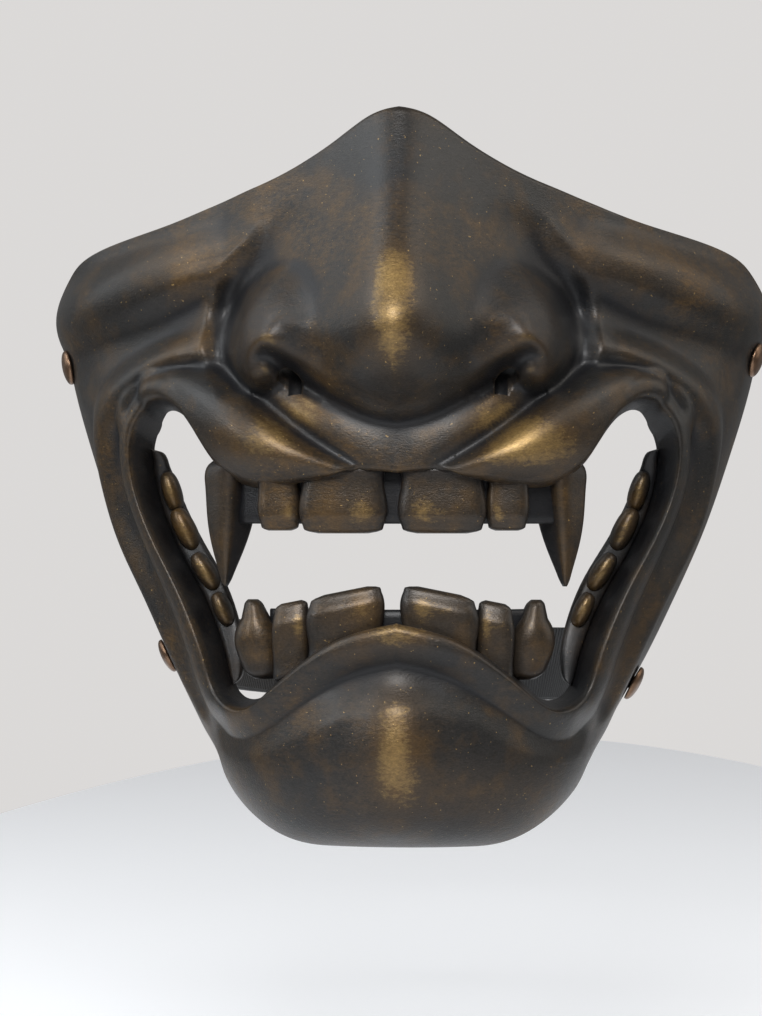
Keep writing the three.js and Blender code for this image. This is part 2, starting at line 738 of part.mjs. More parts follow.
// A tooth: rounded sections from its root to its tip, closed at both ends.
const toothSides = 8;
const toothProfile = table(["along", "size"], [
  [0, 0.55], [0.05, 0.9], [0.5, 1], [0.86, 0.98], [0.96, 0.86], [1, 0.6],
]);

function toothSection(centre, half, depth, square) {
  const ring = [];
  for (let k = 0; k < toothSides; k += 1) {
    const turn = ((k + 0.5) / toothSides) * Math.PI * 2;
    const c = Math.cos(turn);
    const s = Math.sin(turn);
    const x = Math.sign(c) * Math.abs(c) ** (2 / square) * half;
    const y = Math.sign(s) * Math.abs(s) ** (2 / square) * depth;
    ring.push(new THREE.Vector3(centre.x + x, centre.y + y, centre.z));
  }
  return ring;
}

function toothSolid(rows, index, side) {
  const deep = (rows.deep[index] * toothDepth) / 2;
  const rings = toothProfile.along.map((along, i) => {
    const wide = along < 0.5
      ? THREE.MathUtils.lerp(rows.rootHalf[index], rows.midHalf[index], along * 2)
      : THREE.MathUtils.lerp(rows.midHalf[index], rows.tipHalf[index], along * 2 - 1);
    const size = toothProfile.size[i];
    const taper = wide / Math.max(rows.rootHalf[index], rows.midHalf[index]);
    const centre = new THREE.Vector3(
      (side * THREE.MathUtils.lerp(rows.rootX[index], rows.tipX[index], along) + toothShift) * mouthAcross,
      rows.front[index] * partThrough + deep,
      THREE.MathUtils.lerp(rows.rootZ[index], rows.tipZ[index], along) * mouthDown,
    );
    return toothSection(centre, wide * size * mouthAcross, deep * size * taper, rows.square[index]);
  });
  return toManifold(lofted(rings));
}

// The gum bar runs behind a row of teeth, through their roots.
const gumSteps = 12;
const gumSetback = 0.55;

function gumBar(rows, top, bottom) {
  const reach = rows.rootX[2];
  const line = splineOf([0, ...rows.rootX], [rows.front[0], ...rows.front]);
  const section = [[0, top], [gumThickness, top], [gumThickness, bottom], [0, bottom]];
  const rings = [];
  for (let i = 0; i <= gumSteps; i += 1) {
    const x = THREE.MathUtils.lerp(-reach, reach, i / gumSteps);
    const front = line(Math.abs(x)) * partThrough + toothDepth * gumSetback;
    rings.push(section.map(([y, z]) => new THREE.Vector3(x * mouthAcross, front + y, z)));
  }
  return toManifold(lofted(rings));
}

function toothRow(rows, top, bottom) {
  let solid = gumBar(rows, top, bottom);
  for (let index = 0; index < rows.rootX.length; index += 1) {
    solid = solid.add(toothSolid(rows, index, 1)).add(toothSolid(rows, index, -1));
  }
  return fromManifold(solid.intersect(plug));
}

const upperRoot = upperTeeth.rootZ[0] * mouthDown;
const lowerRoot = lowerTeeth.rootZ[0] * mouthDown;

// A point on the end of the mouth's wall, with the way in from it across the mouth.
const wallIndex = stepsOut + rollSteps + 1;
const wallPlaces = placesRound(stepsRound / 2);

function wallPoint(place, side) {
  let k = 0;
  while (k < wallPlaces.length - 2 && wallPlaces[k + 1] < place) {
    k += 1;
  }
  const within = (place - wallPlaces[k]) / (wallPlaces[k + 1] - wallPlaces[k]);
  const ringAt = (index) => shellRings[side > 0 ? index : (shellRings.length - index) % shellRings.length];
  return ringAt(k)[wallIndex].clone().lerp(ringAt(k + 1)[wallIndex], within);
}

function wallEndAt(place, side) {
  const small = 0.1;
  const at = wallPoint(place, side);
  const tangent = wallPoint(place + small, side).sub(wallPoint(place - small, side));
  const inward = new THREE.Vector3(tangent.z, 0, -tangent.x).normalize().multiplyScalar(side);
  return { at, inward };
}

// Side teeth: egg shapes on a gum that runs along the end of the mouth's wall.
function cheekRow(side) {
  const rings = [];
  for (let i = 0; i <= gumSteps; i += 1) {
    const share = i / gumSteps;
    const { at, inward } = wallEndAt(THREE.MathUtils.lerp(cheekGum.from, cheekGum.to, share), side);
    const reach = (cheekGum.reach * Math.sin(share * Math.PI) ** cheekGum.rounding + cheekGum.least) * mouthAcross;
    const section = [[0, -cheekGum.front], [reach, -cheekGum.front], [reach, cheekGum.back], [0, cheekGum.back]];
    rings.push(section.map(([across, behind]) => (
      at.clone().addScaledVector(inward, across + cheekGum.gap).addScaledVector(backward, behind))));
  }
  let solid = toManifold(lofted(rings));
  cheekTeeth.place.forEach((place, index) => {
    const { at, inward } = wallEndAt(place, side);
    const egg = new THREE.SphereGeometry(1, 8, 4);
    egg.scale(cheekTeeth.halfWide[index] * mouthAcross, toothDepth / 2, cheekTeeth.halfTall[index] * mouthDown);
    const middle = at.addScaledVector(inward, cheekTeeth.inward[index] * mouthAcross);
    egg.translate(middle.x, middle.y - cheekGum.front, middle.z);
    solid = solid.add(toManifold(egg));
  });
  return fromManifold(solid);
}

// A rivet stands square to the wall: its face point, the outward direction, and how deep behind that point
// a flat strap has to lie to clear the wall's inner face.
const innerIndex = stepsOut + rollSteps + 5;

function outerPoint(angle, drop) {
  const base = facePoint(angle, drop);
  return base.clone().addScaledVector(liftDirection(base, faceNormal(angle, drop)), reliefHeight(base));
}

function rivetSeat(rivet) {
  const drop = -rivet.z;
  const rear = station.back(drop) * partThrough;
  const front = station.front(drop) * partThrough;
  const turned = clamp(1 - (rear - rivet.inset - front) / (rear - front), 0, 1) ** (1 / station.pinch(drop));
  const angle = Math.acos(turned) * rivet.side;
  const small = 0.02;
  const face = outerPoint(angle, drop);
  const round = outerPoint(angle + small, drop).sub(outerPoint(angle - small, drop));
  const down = outerPoint(angle, drop + small * 100).sub(outerPoint(angle, drop - small * 100));
  const normal = down.cross(round).normalize();
  const across = new THREE.Vector3(0, 0, 1).addScaledVector(normal, -normal.z).normalize();
  const along = across.clone().cross(normal).multiplyScalar(rivet.side).normalize();
  const tilt = THREE.MathUtils.degToRad(rivet.tilt);
  const run = along.clone().multiplyScalar(Math.cos(tilt)).addScaledVector(across, Math.sin(tilt));
  const wide = across.clone().multiplyScalar(Math.cos(tilt)).addScaledVector(along, -Math.sin(tilt));
  const leave = rivet.inset + wallThickness;
  let depth = 0;
  for (const point of shellRings.flatMap((ring) => ring.slice(innerIndex))) {
    const offset = point.clone().sub(face);
    const near = Math.abs(offset.dot(wide)) < strapWidth / 2 + wallThickness
      && offset.dot(run) > -strapTab - wallThickness && offset.dot(run) < leave && point.x * rivet.side > 0;
    if (near) {
      depth = Math.max(depth, -offset.dot(normal));
    }
  }
  return { face, normal, run, wide, leave, side: rivet.side, depth: depth + strapGap, tilt };
}

const rivetSides = 8;
const domeSteps = 3;

function rivetProfile(grip) {
  const points = [[0, rivetHeadHeight]];
  for (let i = 1; i <= domeSteps; i += 1) {
    const turn = (i / domeSteps) * (Math.PI / 2);
    points.push([rivetHeadRadius * Math.sin(turn), rivetHeadHeight * Math.cos(turn)]);
  }
  points.push([rivetShankRadius, 0]);
  points.push([rivetShankRadius, -grip]);
  points.push([rivetCapRadius, -grip]);
  points.push([rivetCapRadius, -grip - rivetCapThickness]);
  points.push([0, -grip - rivetCapThickness]);
  return points.reverse().map(([radius, height]) => new THREE.Vector2(radius, height));
}

function alongAxis(geometry, point, axis) {
  const turn = new THREE.Quaternion().setFromUnitVectors(new THREE.Vector3(0, 1, 0), axis);
  return geometry.applyQuaternion(turn).translate(point.x, point.y, point.z);
}

const seats = rivets.map((rivet) => rivetSeat(rivet));

function roundCutter(seat, radius, from, to) {
  const cutter = new THREE.CylinderGeometry(radius, radius, to - from, rivetSides);
  const middle = seat.face.clone().addScaledVector(seat.normal, (from + to) / 2);
  return toManifold(alongAxis(cutter, middle, seat.normal));
}

function rivetSolid(seat) {
  const turned = new THREE.LatheGeometry(rivetProfile(seat.depth + strapThickness + clearance * 2), rivetSides);
  return alongAxis(turned, seat.face.clone().addScaledVector(seat.normal, clearance), seat.normal);
}

// A slanted oval hole that runs up and back through the wall under the nose.
function nostrilCutter(side) {
  const x = side * nostril.x * partAcross;
  const z = nostril.z * partDown;
  const seen = seenFrom(x, z);
  const cutter = new THREE.CylinderGeometry(1, 1, nostril.ahead + nostril.deep, rivetSides);
  cutter.translate(0, (nostril.deep - nostril.ahead) / 2, 0);
  cutter.scale(nostril.halfWide, 1, nostril.halfTall);
  cutter.rotateY(THREE.MathUtils.degToRad(nostril.slant) * side);
  cutter.rotateX(THREE.MathUtils.degToRad(nostril.rise));
  cutter.translate(x, outerPoint(seen.angle, seen.drop).y, z);
  return toManifold(cutter);
}

// The shell has a clearance hole for each shank, a flat seat under each head and the breathing holes.
function shellWithHoles() {
  const hole = rivetShankRadius + clearance;
  const flat = rivetHeadRadius + clearance;
  let shell = toManifold(closedRings(shellRings));
  for (const seat of seats) {
    shell = shell.subtract(roundCutter(seat, hole, -wallThickness * 3, wallThickness));
    shell = shell.subtract(roundCutter(seat, flat, 0, wallThickness));
  }
  shell = shell.subtract(nostrilCutter(1)).subtract(nostrilCutter(-1));
  return fromManifold(shell);
}

// A strap is a flat band round the head, in a tilted plane. Its path holds the band's own width direction.
const strapHalfSteps = 14;
const upright = new THREE.Vector3(0, 0, 1);

function strapPath(left, right, reach) {
  const starts = [left, right].map((seat) => (
    seat.face.clone().addScaledVector(seat.normal, -seat.depth - strapThickness / 2)));
  const rearY = (starts[0].y + starts[1].y) / 2 + reach;
  const rearZ = (starts[0].z + starts[1].z) / 2 + reach * Math.tan(left.tilt);
  const sides = [left, right].map((seat, index) => {
    const start = starts[index];
    const points = [];
    points.push({ at: start.clone().addScaledVector(seat.run, -strapTab), across: seat.wide });
    points.push({ at: start.clone(), across: seat.wide });
    const leave = start.clone().addScaledVector(seat.run, seat.leave);
    for (let i = 0; i < strapHalfSteps; i += 1) {
      const share = i / strapHalfSteps;
      const turn = share * (Math.PI / 2);
      const bulge = strapBulge * easeBetween(0, 0.3, share);
      const at = new THREE.Vector3(
        (leave.x + seat.side * bulge) * Math.cos(turn),
        THREE.MathUtils.lerp(leave.y, rearY, Math.sin(turn)),
        THREE.MathUtils.lerp(leave.z, rearZ, Math.sin(turn)),
      );
      points.push({ at, across: seat.wide.clone().lerp(upright, easeBetween(0, 1, share)).normalize() });
    }
    return points;
  });
  const middle = { at: new THREE.Vector3(0, rearY, rearZ), across: upright };
  return [...sides[0], middle, ...sides[1].reverse()];
}

function strapSolid(left, right, reach) {
  const path = strapPath(left, right, reach);
  const rings = path.map(({ at, across }, index) => {
    const before = path[Math.max(index - 1, 0)].at;
    const after = path[Math.min(index + 1, path.length - 1)].at;
    const run = after.clone().sub(before).normalize();
    const thick = run.clone().cross(across).normalize().multiplyScalar(strapThickness / 2);
    const wide = thick.clone().cross(run).setLength(strapWidth / 2);
    return [[-1, -1], [1, -1], [1, 1], [-1, 1]].map(([w, t]) => (
      at.clone().addScaledVector(wide, w).addScaledVector(thick, t)));
  });
  let band = toManifold(lofted(rings));
  for (const seat of [left, right]) {
    const deep = seat.depth + strapThickness * 2;
    band = band.subtract(roundCutter(seat, rivetShankRadius + clearance, -deep, 0));
  }
  return fromManifold(band);
}

const material = {
  bronze: new THREE.MeshStandardMaterial({ color: 0x2c2720, roughness: 0.45, metalness: 0.6 }),
  rivet: new THREE.MeshStandardMaterial({ color: 0x6b4a33, roughness: 0.35, metalness: 0.9 }),
  strap: new THREE.MeshStandardMaterial({ color: 0x151517, roughness: 0.9, metalness: 0 }),
};

const group = new THREE.Group();

function addPiece(name, geometry, finish) {
  const mesh = new THREE.Mesh(geometry, finish);
  mesh.name = name;
  group.add(mesh);
}

addPiece("mask_shell", shellWithHoles(), material.bronze);
addPiece("upper_teeth", toothRow(upperTeeth, upperRoot, upperRoot - gumHeight), material.bronze);
addPiece("lower_teeth", toothRow(lowerTeeth, lowerRoot + gumHeight, lowerRoot), material.bronze);
addPiece("cheek_teeth_left", cheekRow(-1), material.bronze);
addPiece("cheek_teeth_right", cheekRow(1), material.bronze);
rivets.forEach((rivet, index) => {
  addPiece(rivet.name, rivetSolid(seats[index]), material.rivet);
});
addPiece("upper_strap", strapSolid(seats[0], seats[1], upperStrapReach), material.strap);
addPiece("lower_strap", strapSolid(seats[2], seats[3], lowerStrapReach), material.strap);

// The origin is the seat on the inside of the nose bridge, where the mask rests on its wearer.
const seatInside = facePoint(0, -seatHeight / partDown);
seatInside.y += wallThickness - noseHeight(0, seatHeight);
group.position.copy(seatInside).negate();

export default group;
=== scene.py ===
import math

import bpy
import numpy as np
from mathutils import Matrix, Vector


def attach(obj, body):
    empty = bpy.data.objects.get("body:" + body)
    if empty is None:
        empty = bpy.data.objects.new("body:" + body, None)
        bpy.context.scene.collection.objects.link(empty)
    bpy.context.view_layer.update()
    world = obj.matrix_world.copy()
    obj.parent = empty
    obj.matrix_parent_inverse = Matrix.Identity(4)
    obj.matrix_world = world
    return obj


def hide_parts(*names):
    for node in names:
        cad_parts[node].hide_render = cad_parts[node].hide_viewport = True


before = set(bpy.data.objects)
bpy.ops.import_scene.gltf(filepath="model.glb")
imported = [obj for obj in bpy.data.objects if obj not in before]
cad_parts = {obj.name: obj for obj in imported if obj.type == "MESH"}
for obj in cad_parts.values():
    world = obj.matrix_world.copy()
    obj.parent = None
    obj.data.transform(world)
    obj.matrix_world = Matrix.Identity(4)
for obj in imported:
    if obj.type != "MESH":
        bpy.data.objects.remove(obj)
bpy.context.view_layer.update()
print("stage: frame loaded")

scene = bpy.context.scene

# The face's own sizes, in millimetres. The tables below count in parts of them.
face = {
    "width": 172,
    "height": 166,
    "depth": 95,
    "mouthWidth": 122,
    "mouthHeight": 70,
    "noseRise": 28.6,
    "reliefRise": 1.0,
    "wall": 3.4,
    "lipRoll": 1.8,
    "mouthWall": 10,
    "seatHeight": 70,
    "clearance": 0.3,
}
partAcross = face["width"] / 172
partDown = face["height"] / 166
partThrough = face["depth"] / 95
mouthAcross = face["mouthWidth"] / 122
mouthDown = face["mouthHeight"] / 70
noseUnit = face["noseRise"] / 28.6


def splineThrough(knots, values):
    # a natural cubic spline, held level past its ends
    knots = np.asarray(knots, float)
    values = np.asarray(values, float)
    count = len(knots)
    step = np.diff(knots)
    slope = np.diff(values) / step
    system = np.eye(count)
    right = np.zeros(count)
    for i in range(1, count - 1):
        system[i, i - 1] = step[i - 1]
        system[i, i] = 2 * (step[i - 1] + step[i])
        system[i, i + 1] = step[i]
        right[i] = 6 * (slope[i] - slope[i - 1])
    bend = np.linalg.solve(system, right)

    def at(place):
        place = np.clip(np.asarray(place, float), knots[0], knots[-1])
        k = np.clip(np.searchsorted(knots, place, side="right") - 1, 0, count - 2)
        span = step[k]
        a = (knots[k + 1] - place) / span
        b = (place - knots[k]) / span
        curve = (a**3 - a) * bend[k] + (b**3 - b) * bend[k + 1]
        return a * values[k] + b * values[k + 1] + curve * span * span / 6

    return at


def splinesOf(names, rows, knots=None):
    columns = np.array(rows, float).T
    knots = columns[0] if knots is None else knots
    return {name: splineThrough(knots, column) for name, column in zip(names, columns)}


def ease(low, high, value):
    t = np.clip((value - low) / (high - low), 0, 1)
    return t * t * (3 - 2 * t)


def softMin(a, b, blend):
    h = np.clip(0.5 + 0.5 * (b - a) / blend, 0, 1)
    return b + (a - b) * h - blend * h * (1 - h)


def unit(vectors):
    return vectors / (np.linalg.norm(vectors, axis=-1, keepdims=True) + 1e-12)


# Sections of the plain face, from the brow down to the turn under the chin.
station = splinesOf(["drop", "height", "front", "half", "back", "pinch"], [
    (-100, 100, -29, 84, 20, 1.30),
    (-80, 80, -34, 85, 19, 1.30),
    (-62, 62, -40, 86, 18, 1.28),
    (-45, 45, -46, 86, 18, 1.22),
    (-30, 30, -51, 83.5, 18, 1.12),
    (-12, 12, -54, 78, 16.5, 1.05),
    (6, -6, -55, 71.5, 14, 1.02),
    (22, -22, -55.5, 64, 9, 1.0),
    (38, -38, -58, 55.5, 2, 0.98),
    (52, -52, -60, 47, -8, 0.95),
    (64, -64, -57.5, 40.5, -18, 0.93),
    (75, -72.5, -50.5, 32.5, -24, 0.92),
    (85, -76, -41, 26, -28, 0.92),
    (95, -76.5, -31, 20, -30, 0.92),
])

# Half the mouth, with the lip's roll, the wall behind it, its lean and where the shell ends.
mouthRows = [
    (0, 7.4, 0.9, 0.7, -0.15, 0, -89),
    (9.5, 7.8, 0.9, 0.7, -0.15, 4.6, -87.2),
    (19.5, 5.2, 1.2, 0.7, -0.15, 9.8, -82.2),
    (29, 3.4, 1.55, 0.7, -0.1, 15.2, -77.6),
    (36.5, 5, 1.55, 0.7, 0, 20.4, -74.2),
    (42.5, 9.8, 1.35, 0.7, 0, 26.2, -71.4),
    (46, 16, 1.1, 0.7, 0.05, 32.4, -68.6),
    (49.5, 21.8, 0.9, 0.8, 0.15, 40, -65.6),
    (54.5, 24.8, 0.85, 0.9, 0.35, 50.5, -63),
    (59, 22, 0.85, 1.1, 0.6, 63, -60.2),
    (60.9, 15.7, 0.85, 1.3, 0.7, 76, -54.5),
    (59.6, 6, 0.85, 1.3, 0.75, 86.5, -41),
    (55.6, -4.8, 0.85, 1.2, 0.75, 88.5, -23),
    (51, -14.2, 0.85, 1.1, 0.7, 88.5, -6),
    (47, -23.3, 0.9, 1, 0.65, 88.5, 10),
    (43.8, -32.3, 0.95, 0.9, 0.6, 88.5, 25),
    (41.2, -40.2, 1, 0.8, 0.55, 88, 40),
    (36.6, -43.8, 1, 0.8, 0.45, 84, 56),
    (30.8, -40.6, 1, 0.8, 0.25, 72, 70),
    (22.2, -33.8, 1, 0.8, 0.05, 52, 82),
    (12, -28, 1, 0.8, -0.05, 26, 91),
    (0, -25, 1, 0.8, -0.05, 0, 94),
]
mouthNames = ["x", "z", "roll", "wall", "lean", "edgeAngle", "edgeDrop"]
mouth = splinesOf(mouthNames, mouthRows, np.arange(len(mouthRows)))
lastMouth = len(mouthRows) - 1

nose = splinesOf(["z", "rise", "reach"], [
    (10, 20, 33),
    (22, 24, 33),
    (31, 26.5, 33),
    (38, 28.6, 34),
    (44, 28.6, 35),
    (50, 26, 36),
    (57, 22.6, 37),
    (67, 19, 38),
    (78, 16.5, 39),
    (88, 14.5, 40),
    (100, 12, 40),
])
noseFoot = splineThrough(
    [0, 6, 14, 20, 24.5, 28, 32, 35.5, 38, 42],
    [18.5, 19.6, 23.4, 26.6, 27.8, 26, 25, 27.5, 32, 38],
)
noseWing = {"x": 26, "z": 37.5, "across": 13.6, "down": 17, "rise": 14.2, "power": 0.85, "blend": 11}
noseUnder = {"slope": 1.55, "blend": 11}
noseBridge = {"broad": 0.8, "power": 2.1, "narrow": 0.2, "reach": 9}
noseFade = (33, 42)

# Ridges and valleys over the face: points of x, z, rise and half width.
strokes = [
    ("cheekbone", "soft", [
        (36, 59, 0.6, 8), (46, 56.5, 2.6, 10), (58, 53, 3.8, 11), (70, 49.5, 4.0, 11), (79, 47, 3.2, 11),
        (86, 45, 2.2, 11)]),
    ("cheekHollow", "soft", [
        (41, 46, -2.2, 8), (48, 44, -3.0, 9), (58, 40, -3.0, 9), (68, 36, -2.2, 10), (77, 33, -1.2, 10)]),
    ("jawFold", "soft", [
        (52, 35, 1.4, 7), (62, 31, 2.2, 8), (70, 21, 2.6, 9), (70, 8, 2.6, 9), (66, -6, 2.6, 9),
        (60, -18, 2.4, 9), (54.5, -30, 2.2, 8), (50, -41, 1.6, 8), (46, -52, 0.8, 8)]),
    ("wingGroove", "soft", [
        (25, 63, -0.6, 7), (29.5, 59, -2.4, 8), (34, 53, -4.4, 8), (38, 46.5, -5.0, 7.5),
        (40.3, 40, -4.4, 6.5), (40.0, 34, -3.4, 5.5), (36.5, 27.5, -2.0, 4.0)]),
    ("lipLobe", "dome", [
        (9, 7.4, 0.4, 1.4), (15, 9.0, 2.4, 3.4), (21, 10.6, 4.6, 5.6), (29, 13.0, 6.6, 8.4),
        (37, 17.2, 7.4, 9.6), (44.5, 22.4, 6.4, 8.6), (51, 26.6, 4.4, 5.8), (57, 27.6, 2.4, 4.0)]),
    ("lobeCrease", "sharp", [
        (8, 9.0, -0.6, 2.2), (15, 12.6, -1.6, 3.0), (22, 17.0, -2.2, 3.4), (29, 22.4, -2.4, 3.4),
        (34, 27.0, -2.2, 3.2), (38.5, 30.6, -1.8, 3.2), (43.2, 32.6, -1.6, 3.2), (52, 31.6, -1.6, 3.2),
        (58.6, 28.4, -1.4, 3.4), (62.6, 23, -1.0, 3.6)]),
    ("philtrum", "soft", [(6, 13, 0.5, 7), (14, 17, 1.0, 7), (22, 21.5, 0.5, 6)]),
    ("noseLip", "soft", [
        (0, 20.2, 0.7, 2.4), (6, 21.2, 0.7, 2.4), (13, 24.6, 0.7, 2.4), (18.5, 27.6, 0.5, 2.2),
        (22, 29.2, 0.1, 2)]),
    ("nostril", "soft", [
        (29.6, 33.6, -0.6, 2.2), (27.6, 32.8, -2.6, 2.8), (24.6, 30.6, -3.6, 3.2), (21, 28, -3.0, 2.8),
        (17, 25.4, -1.0, 2.2)]),
    ("nostrilRim", "soft", [
        (33, 33.5, 0.5, 3), (29.5, 37, 1.2, 3.4), (25, 35.4, 1.2, 3.2), (19, 32, 0.6, 3)]),
    ("mouthRim", "dome", [
        (50.5, 23.6, 0.3, 2.5), (54.6, 26.3, 1.0, 4.0), (60.6, 23.0, 2.0, 5.5), (62.5, 15.8, 2.6, 6.5),
        (61.2, 6.0, 2.8, 7.0), (57.2, -5.2, 2.8, 7.0), (52.6, -14.8, 2.8, 7.0), (48.6, -24.0, 2.8, 7.0),
        (45.4, -33.0, 2.8, 7.0), (42.8, -41.4, 2.6, 6.6), (37.2, -45.6, 2.6, 6.2), (30.4, -42.4, 2.6, 6.4),
        (21.4, -35.6, 2.7, 6.8), (11.6, -29.8, 2.8, 7.2), (0, -26.8, 2.8, 7.4)]),
    ("rimValley", "soft", [
        (67, 16, -0.6, 5), (67.5, 5, -1.0, 6), (63.5, -6, -1.2, 6), (58.5, -17, -1.2, 6), (54, -27, -1.2, 6),
        (50.5, -36, -1.2, 6), (46.5, -45, -1.2, 6)]),
    ("lipCrease", "soft", [
        (40, -51, -1.0, 6), (32, -49.5, -1.4, 7), (24, -44, -1.8, 8), (13, -38.6, -2.0, 8),
        (0, -36.4, -2.0, 8)]),
    ("mouthCorner", "soft", [(41, -48, -0.8, 5), (44, -54, -1.4, 7), (43, -62, -0.8, 8)]),
    ("chinRidge", "soft", [(0, -38, 0.4, 8), (0, -46, 1.6, 11), (0, -55, 1.8, 13), (0, -66, 1.0, 13)]),
]
strokeShapes = {
    "soft": lambda r: (1 - r * r)**2,
    "dome": lambda r: 1 - r * r,
    "sharp": lambda r: (1 - r)**1.6,
}
strokeSoftness = 2.2
strokeSteps = 12


def facePoint(angle, drop):
    # the plain face at an angle from its middle line and a drop down it
    front = station["front"](drop)
    turn = 1 - np.clip(np.cos(angle), 1e-6, 1)**station["pinch"](drop)
    across = station["half"](drop) * np.sin(angle) * partAcross
    through = (front + (station["back"](drop) - front) * turn) * partThrough
    up = station["height"](drop) * partDown + 0 * across
    return np.stack([across, through, up], -1)


def faceNormal(angle, drop):
    small = 1e-3
    around = facePoint(angle + small, drop) - facePoint(angle - small, drop)
    down = facePoint(angle, drop + small * 10) - facePoint(angle, drop - small * 10)
    return unit(np.cross(down, around))


def seenFrom(x, z):
    # the angle and drop of the face point seen in front at x, z
    drop = -z / partDown
    half = station["half"](drop) * partAcross
    return np.arcsin(np.clip(x / half, -0.999, 0.999)), drop


def bell(value, middle, width):
    return np.exp(-((value - middle) / width)**2)


def noseHeight(x, z):
    across = np.abs(x) / partAcross
    up = z / partDown
    foot = noseFoot(across)
    share = np.clip(1 - (across / nose["reach"](up))**2, 0, 1)
    broad = noseBridge["broad"] * share**noseBridge["power"]
    bridge = nose["rise"](up) * (broad + noseBridge["narrow"] * bell(across, 0, noseBridge["reach"]))
    away = ((across - noseWing["x"]) / noseWing["across"])**2 + ((up - noseWing["z"]) / noseWing["down"])**2
    wing = noseWing["rise"] * np.clip(1 - away, 0, 1)**noseWing["power"]
    form = -softMin(-bridge, -wing, noseWing["blend"]) * (1 - ease(*noseFade, across))
    under = noseUnder["slope"] * (up - foot)
    rise = softMin(form, under, np.clip(under, 1, noseUnder["blend"]))
    return np.where(up < foot, 0, np.clip(rise, 0, None)) * noseUnit


def strokeHeight(points, shape, rows):
    lines = splinesOf(["x", "z", "rise", "width"], rows, np.arange(len(rows)))
    dense = np.linspace(0, len(rows) - 1, (len(rows) - 1) * strokeSteps + 1)
    x, z, rises, widths = [lines[name](dense) for name in ("x", "z", "rise", "width")]
    line = facePoint(*seenFrom(x * partAcross, z * partDown))
    flat = points.reshape(-1, 3)
    mirrored = np.stack([np.abs(flat[:, 0]), flat[:, 1], flat[:, 2]], -1)
    reach = widths.max() + strokeSoftness * 2
    near = np.all((mirrored > line.min(0) - reach) & (mirrored < line.max(0) + reach), axis=1)
    out = np.zeros(len(flat))
    if near.any():
        squares = ((mirrored[near][:, None, :] - line[None, :, :])**2).sum(-1)
        least = squares.min(1, keepdims=True)
        weights = np.exp(-(squares - least) / (2 * strokeSoftness**2))
        weights = weights / weights.sum(1, keepdims=True)
        r = np.clip(np.sqrt(least[:, 0]) / (weights @ widths), 0, 1)
        out[near] = (weights @ rises) * strokeShapes[shape](r)
    return out.reshape(points.shape[:-1])


def reliefHeight(points):
    total = noseHeight(points[..., 0], points[..., 2])
    for name, shape, rows in strokes:
        total = total + strokeHeight(points, shape, rows) * face["reliefRise"]
    return total


forward = np.array([0, -1.0, 0])
backward = -forward

# Where the relief turns from rising straight ahead to rising along the face's own normal.
liftTurn = {"side": (30, 72), "low": (50, 74)}


def liftDirection(points, normal):
    side = ease(*liftTurn["side"], np.abs(points[..., 0]) / partAcross)
    low = ease(*liftTurn["low"], -points[..., 2] / partDown)
    blend = np.maximum(side, low)[..., None]
    return unit((1 - blend) * forward + blend * normal)


def placesRound(count):
    # places round half the mouth, even by the mean of the mouth's and the outer edge's length
    denseSteps = 1200
    dense = np.linspace(0, lastMouth, denseSteps)
    rim = np.stack([mouth["x"](dense), mouth["z"](dense)], -1)
    edge = facePoint(np.radians(mouth["edgeAngle"](dense)), mouth["edgeDrop"](dense))
    rimStep = np.linalg.norm(np.diff(rim, axis=0), axis=1)
    edgeStep = np.linalg.norm(np.diff(edge, axis=0), axis=1)
    length = np.concatenate([[0], np.cumsum(rimStep / rimStep.sum() + edgeStep / edgeStep.sum())])
    return np.interp(np.linspace(0, length[-1], count + 1), length, dense)


def mirroredRing(half, sign=1):
    return np.concatenate([half, (sign * half[1:-1])[::-1]])


def blurred(field, around, across):
    out = sum(np.roll(field, s, axis=0) for s in range(-around, around + 1)) / (2 * around + 1)
    padded = np.pad(out, ((0, 0), (across, across)), mode="edge")
    return sum(padded[:, s:s + field.shape[1]] for s in range(2 * across + 1)) / (2 * across + 1)


def lowestNear(field, around, across):
    low = field.copy()
    for s in range(-around, around + 1):
        low = np.minimum(low, np.roll(field, s, axis=0))
    wide = low.copy()
    for s in range(1, across + 1):
        wide[:, s:] = np.minimum(wide[:, s:], low[:, :-s])
        wide[:, :-s] = np.minimum(wide[:, :-s], low[:, s:])
    return wide


seatInside = facePoint(0.0, -face["seatHeight"] / partDown)
seatInside = seatInside + np.array([0, face["wall"] - noseHeight(0.0, face["seatHeight"]), 0])


def toFrame(points):
    # from the sculpt's millimetres to the frame's metres
    return (np.asarray(points, float) - seatInside) / 1000


# The shell's mesh: its rows of points, and how far its relief is evened out, more so at the nose's tip.
shellLook = {
    "around": 560,
    "outward": 104,
    "outwardPower": 1.25,
    "rollRows": 6,
    "wallRows": 6,
    "insideRows": 30,
    "insideStart": 0.16,
    "insidePower": 1.1,
    "insideReach": 5,
    "leastLean": 0.6,
    "lipDrop": 0.7,
    "lipHeel": 0.4,
    "edgeRound": 0.6,
    "evenReach": (1, 1),
    "noseBall": {"share": 0.9, "wide": 10, "z": 48, "tall": 12, "reach": (7, 6)},
}


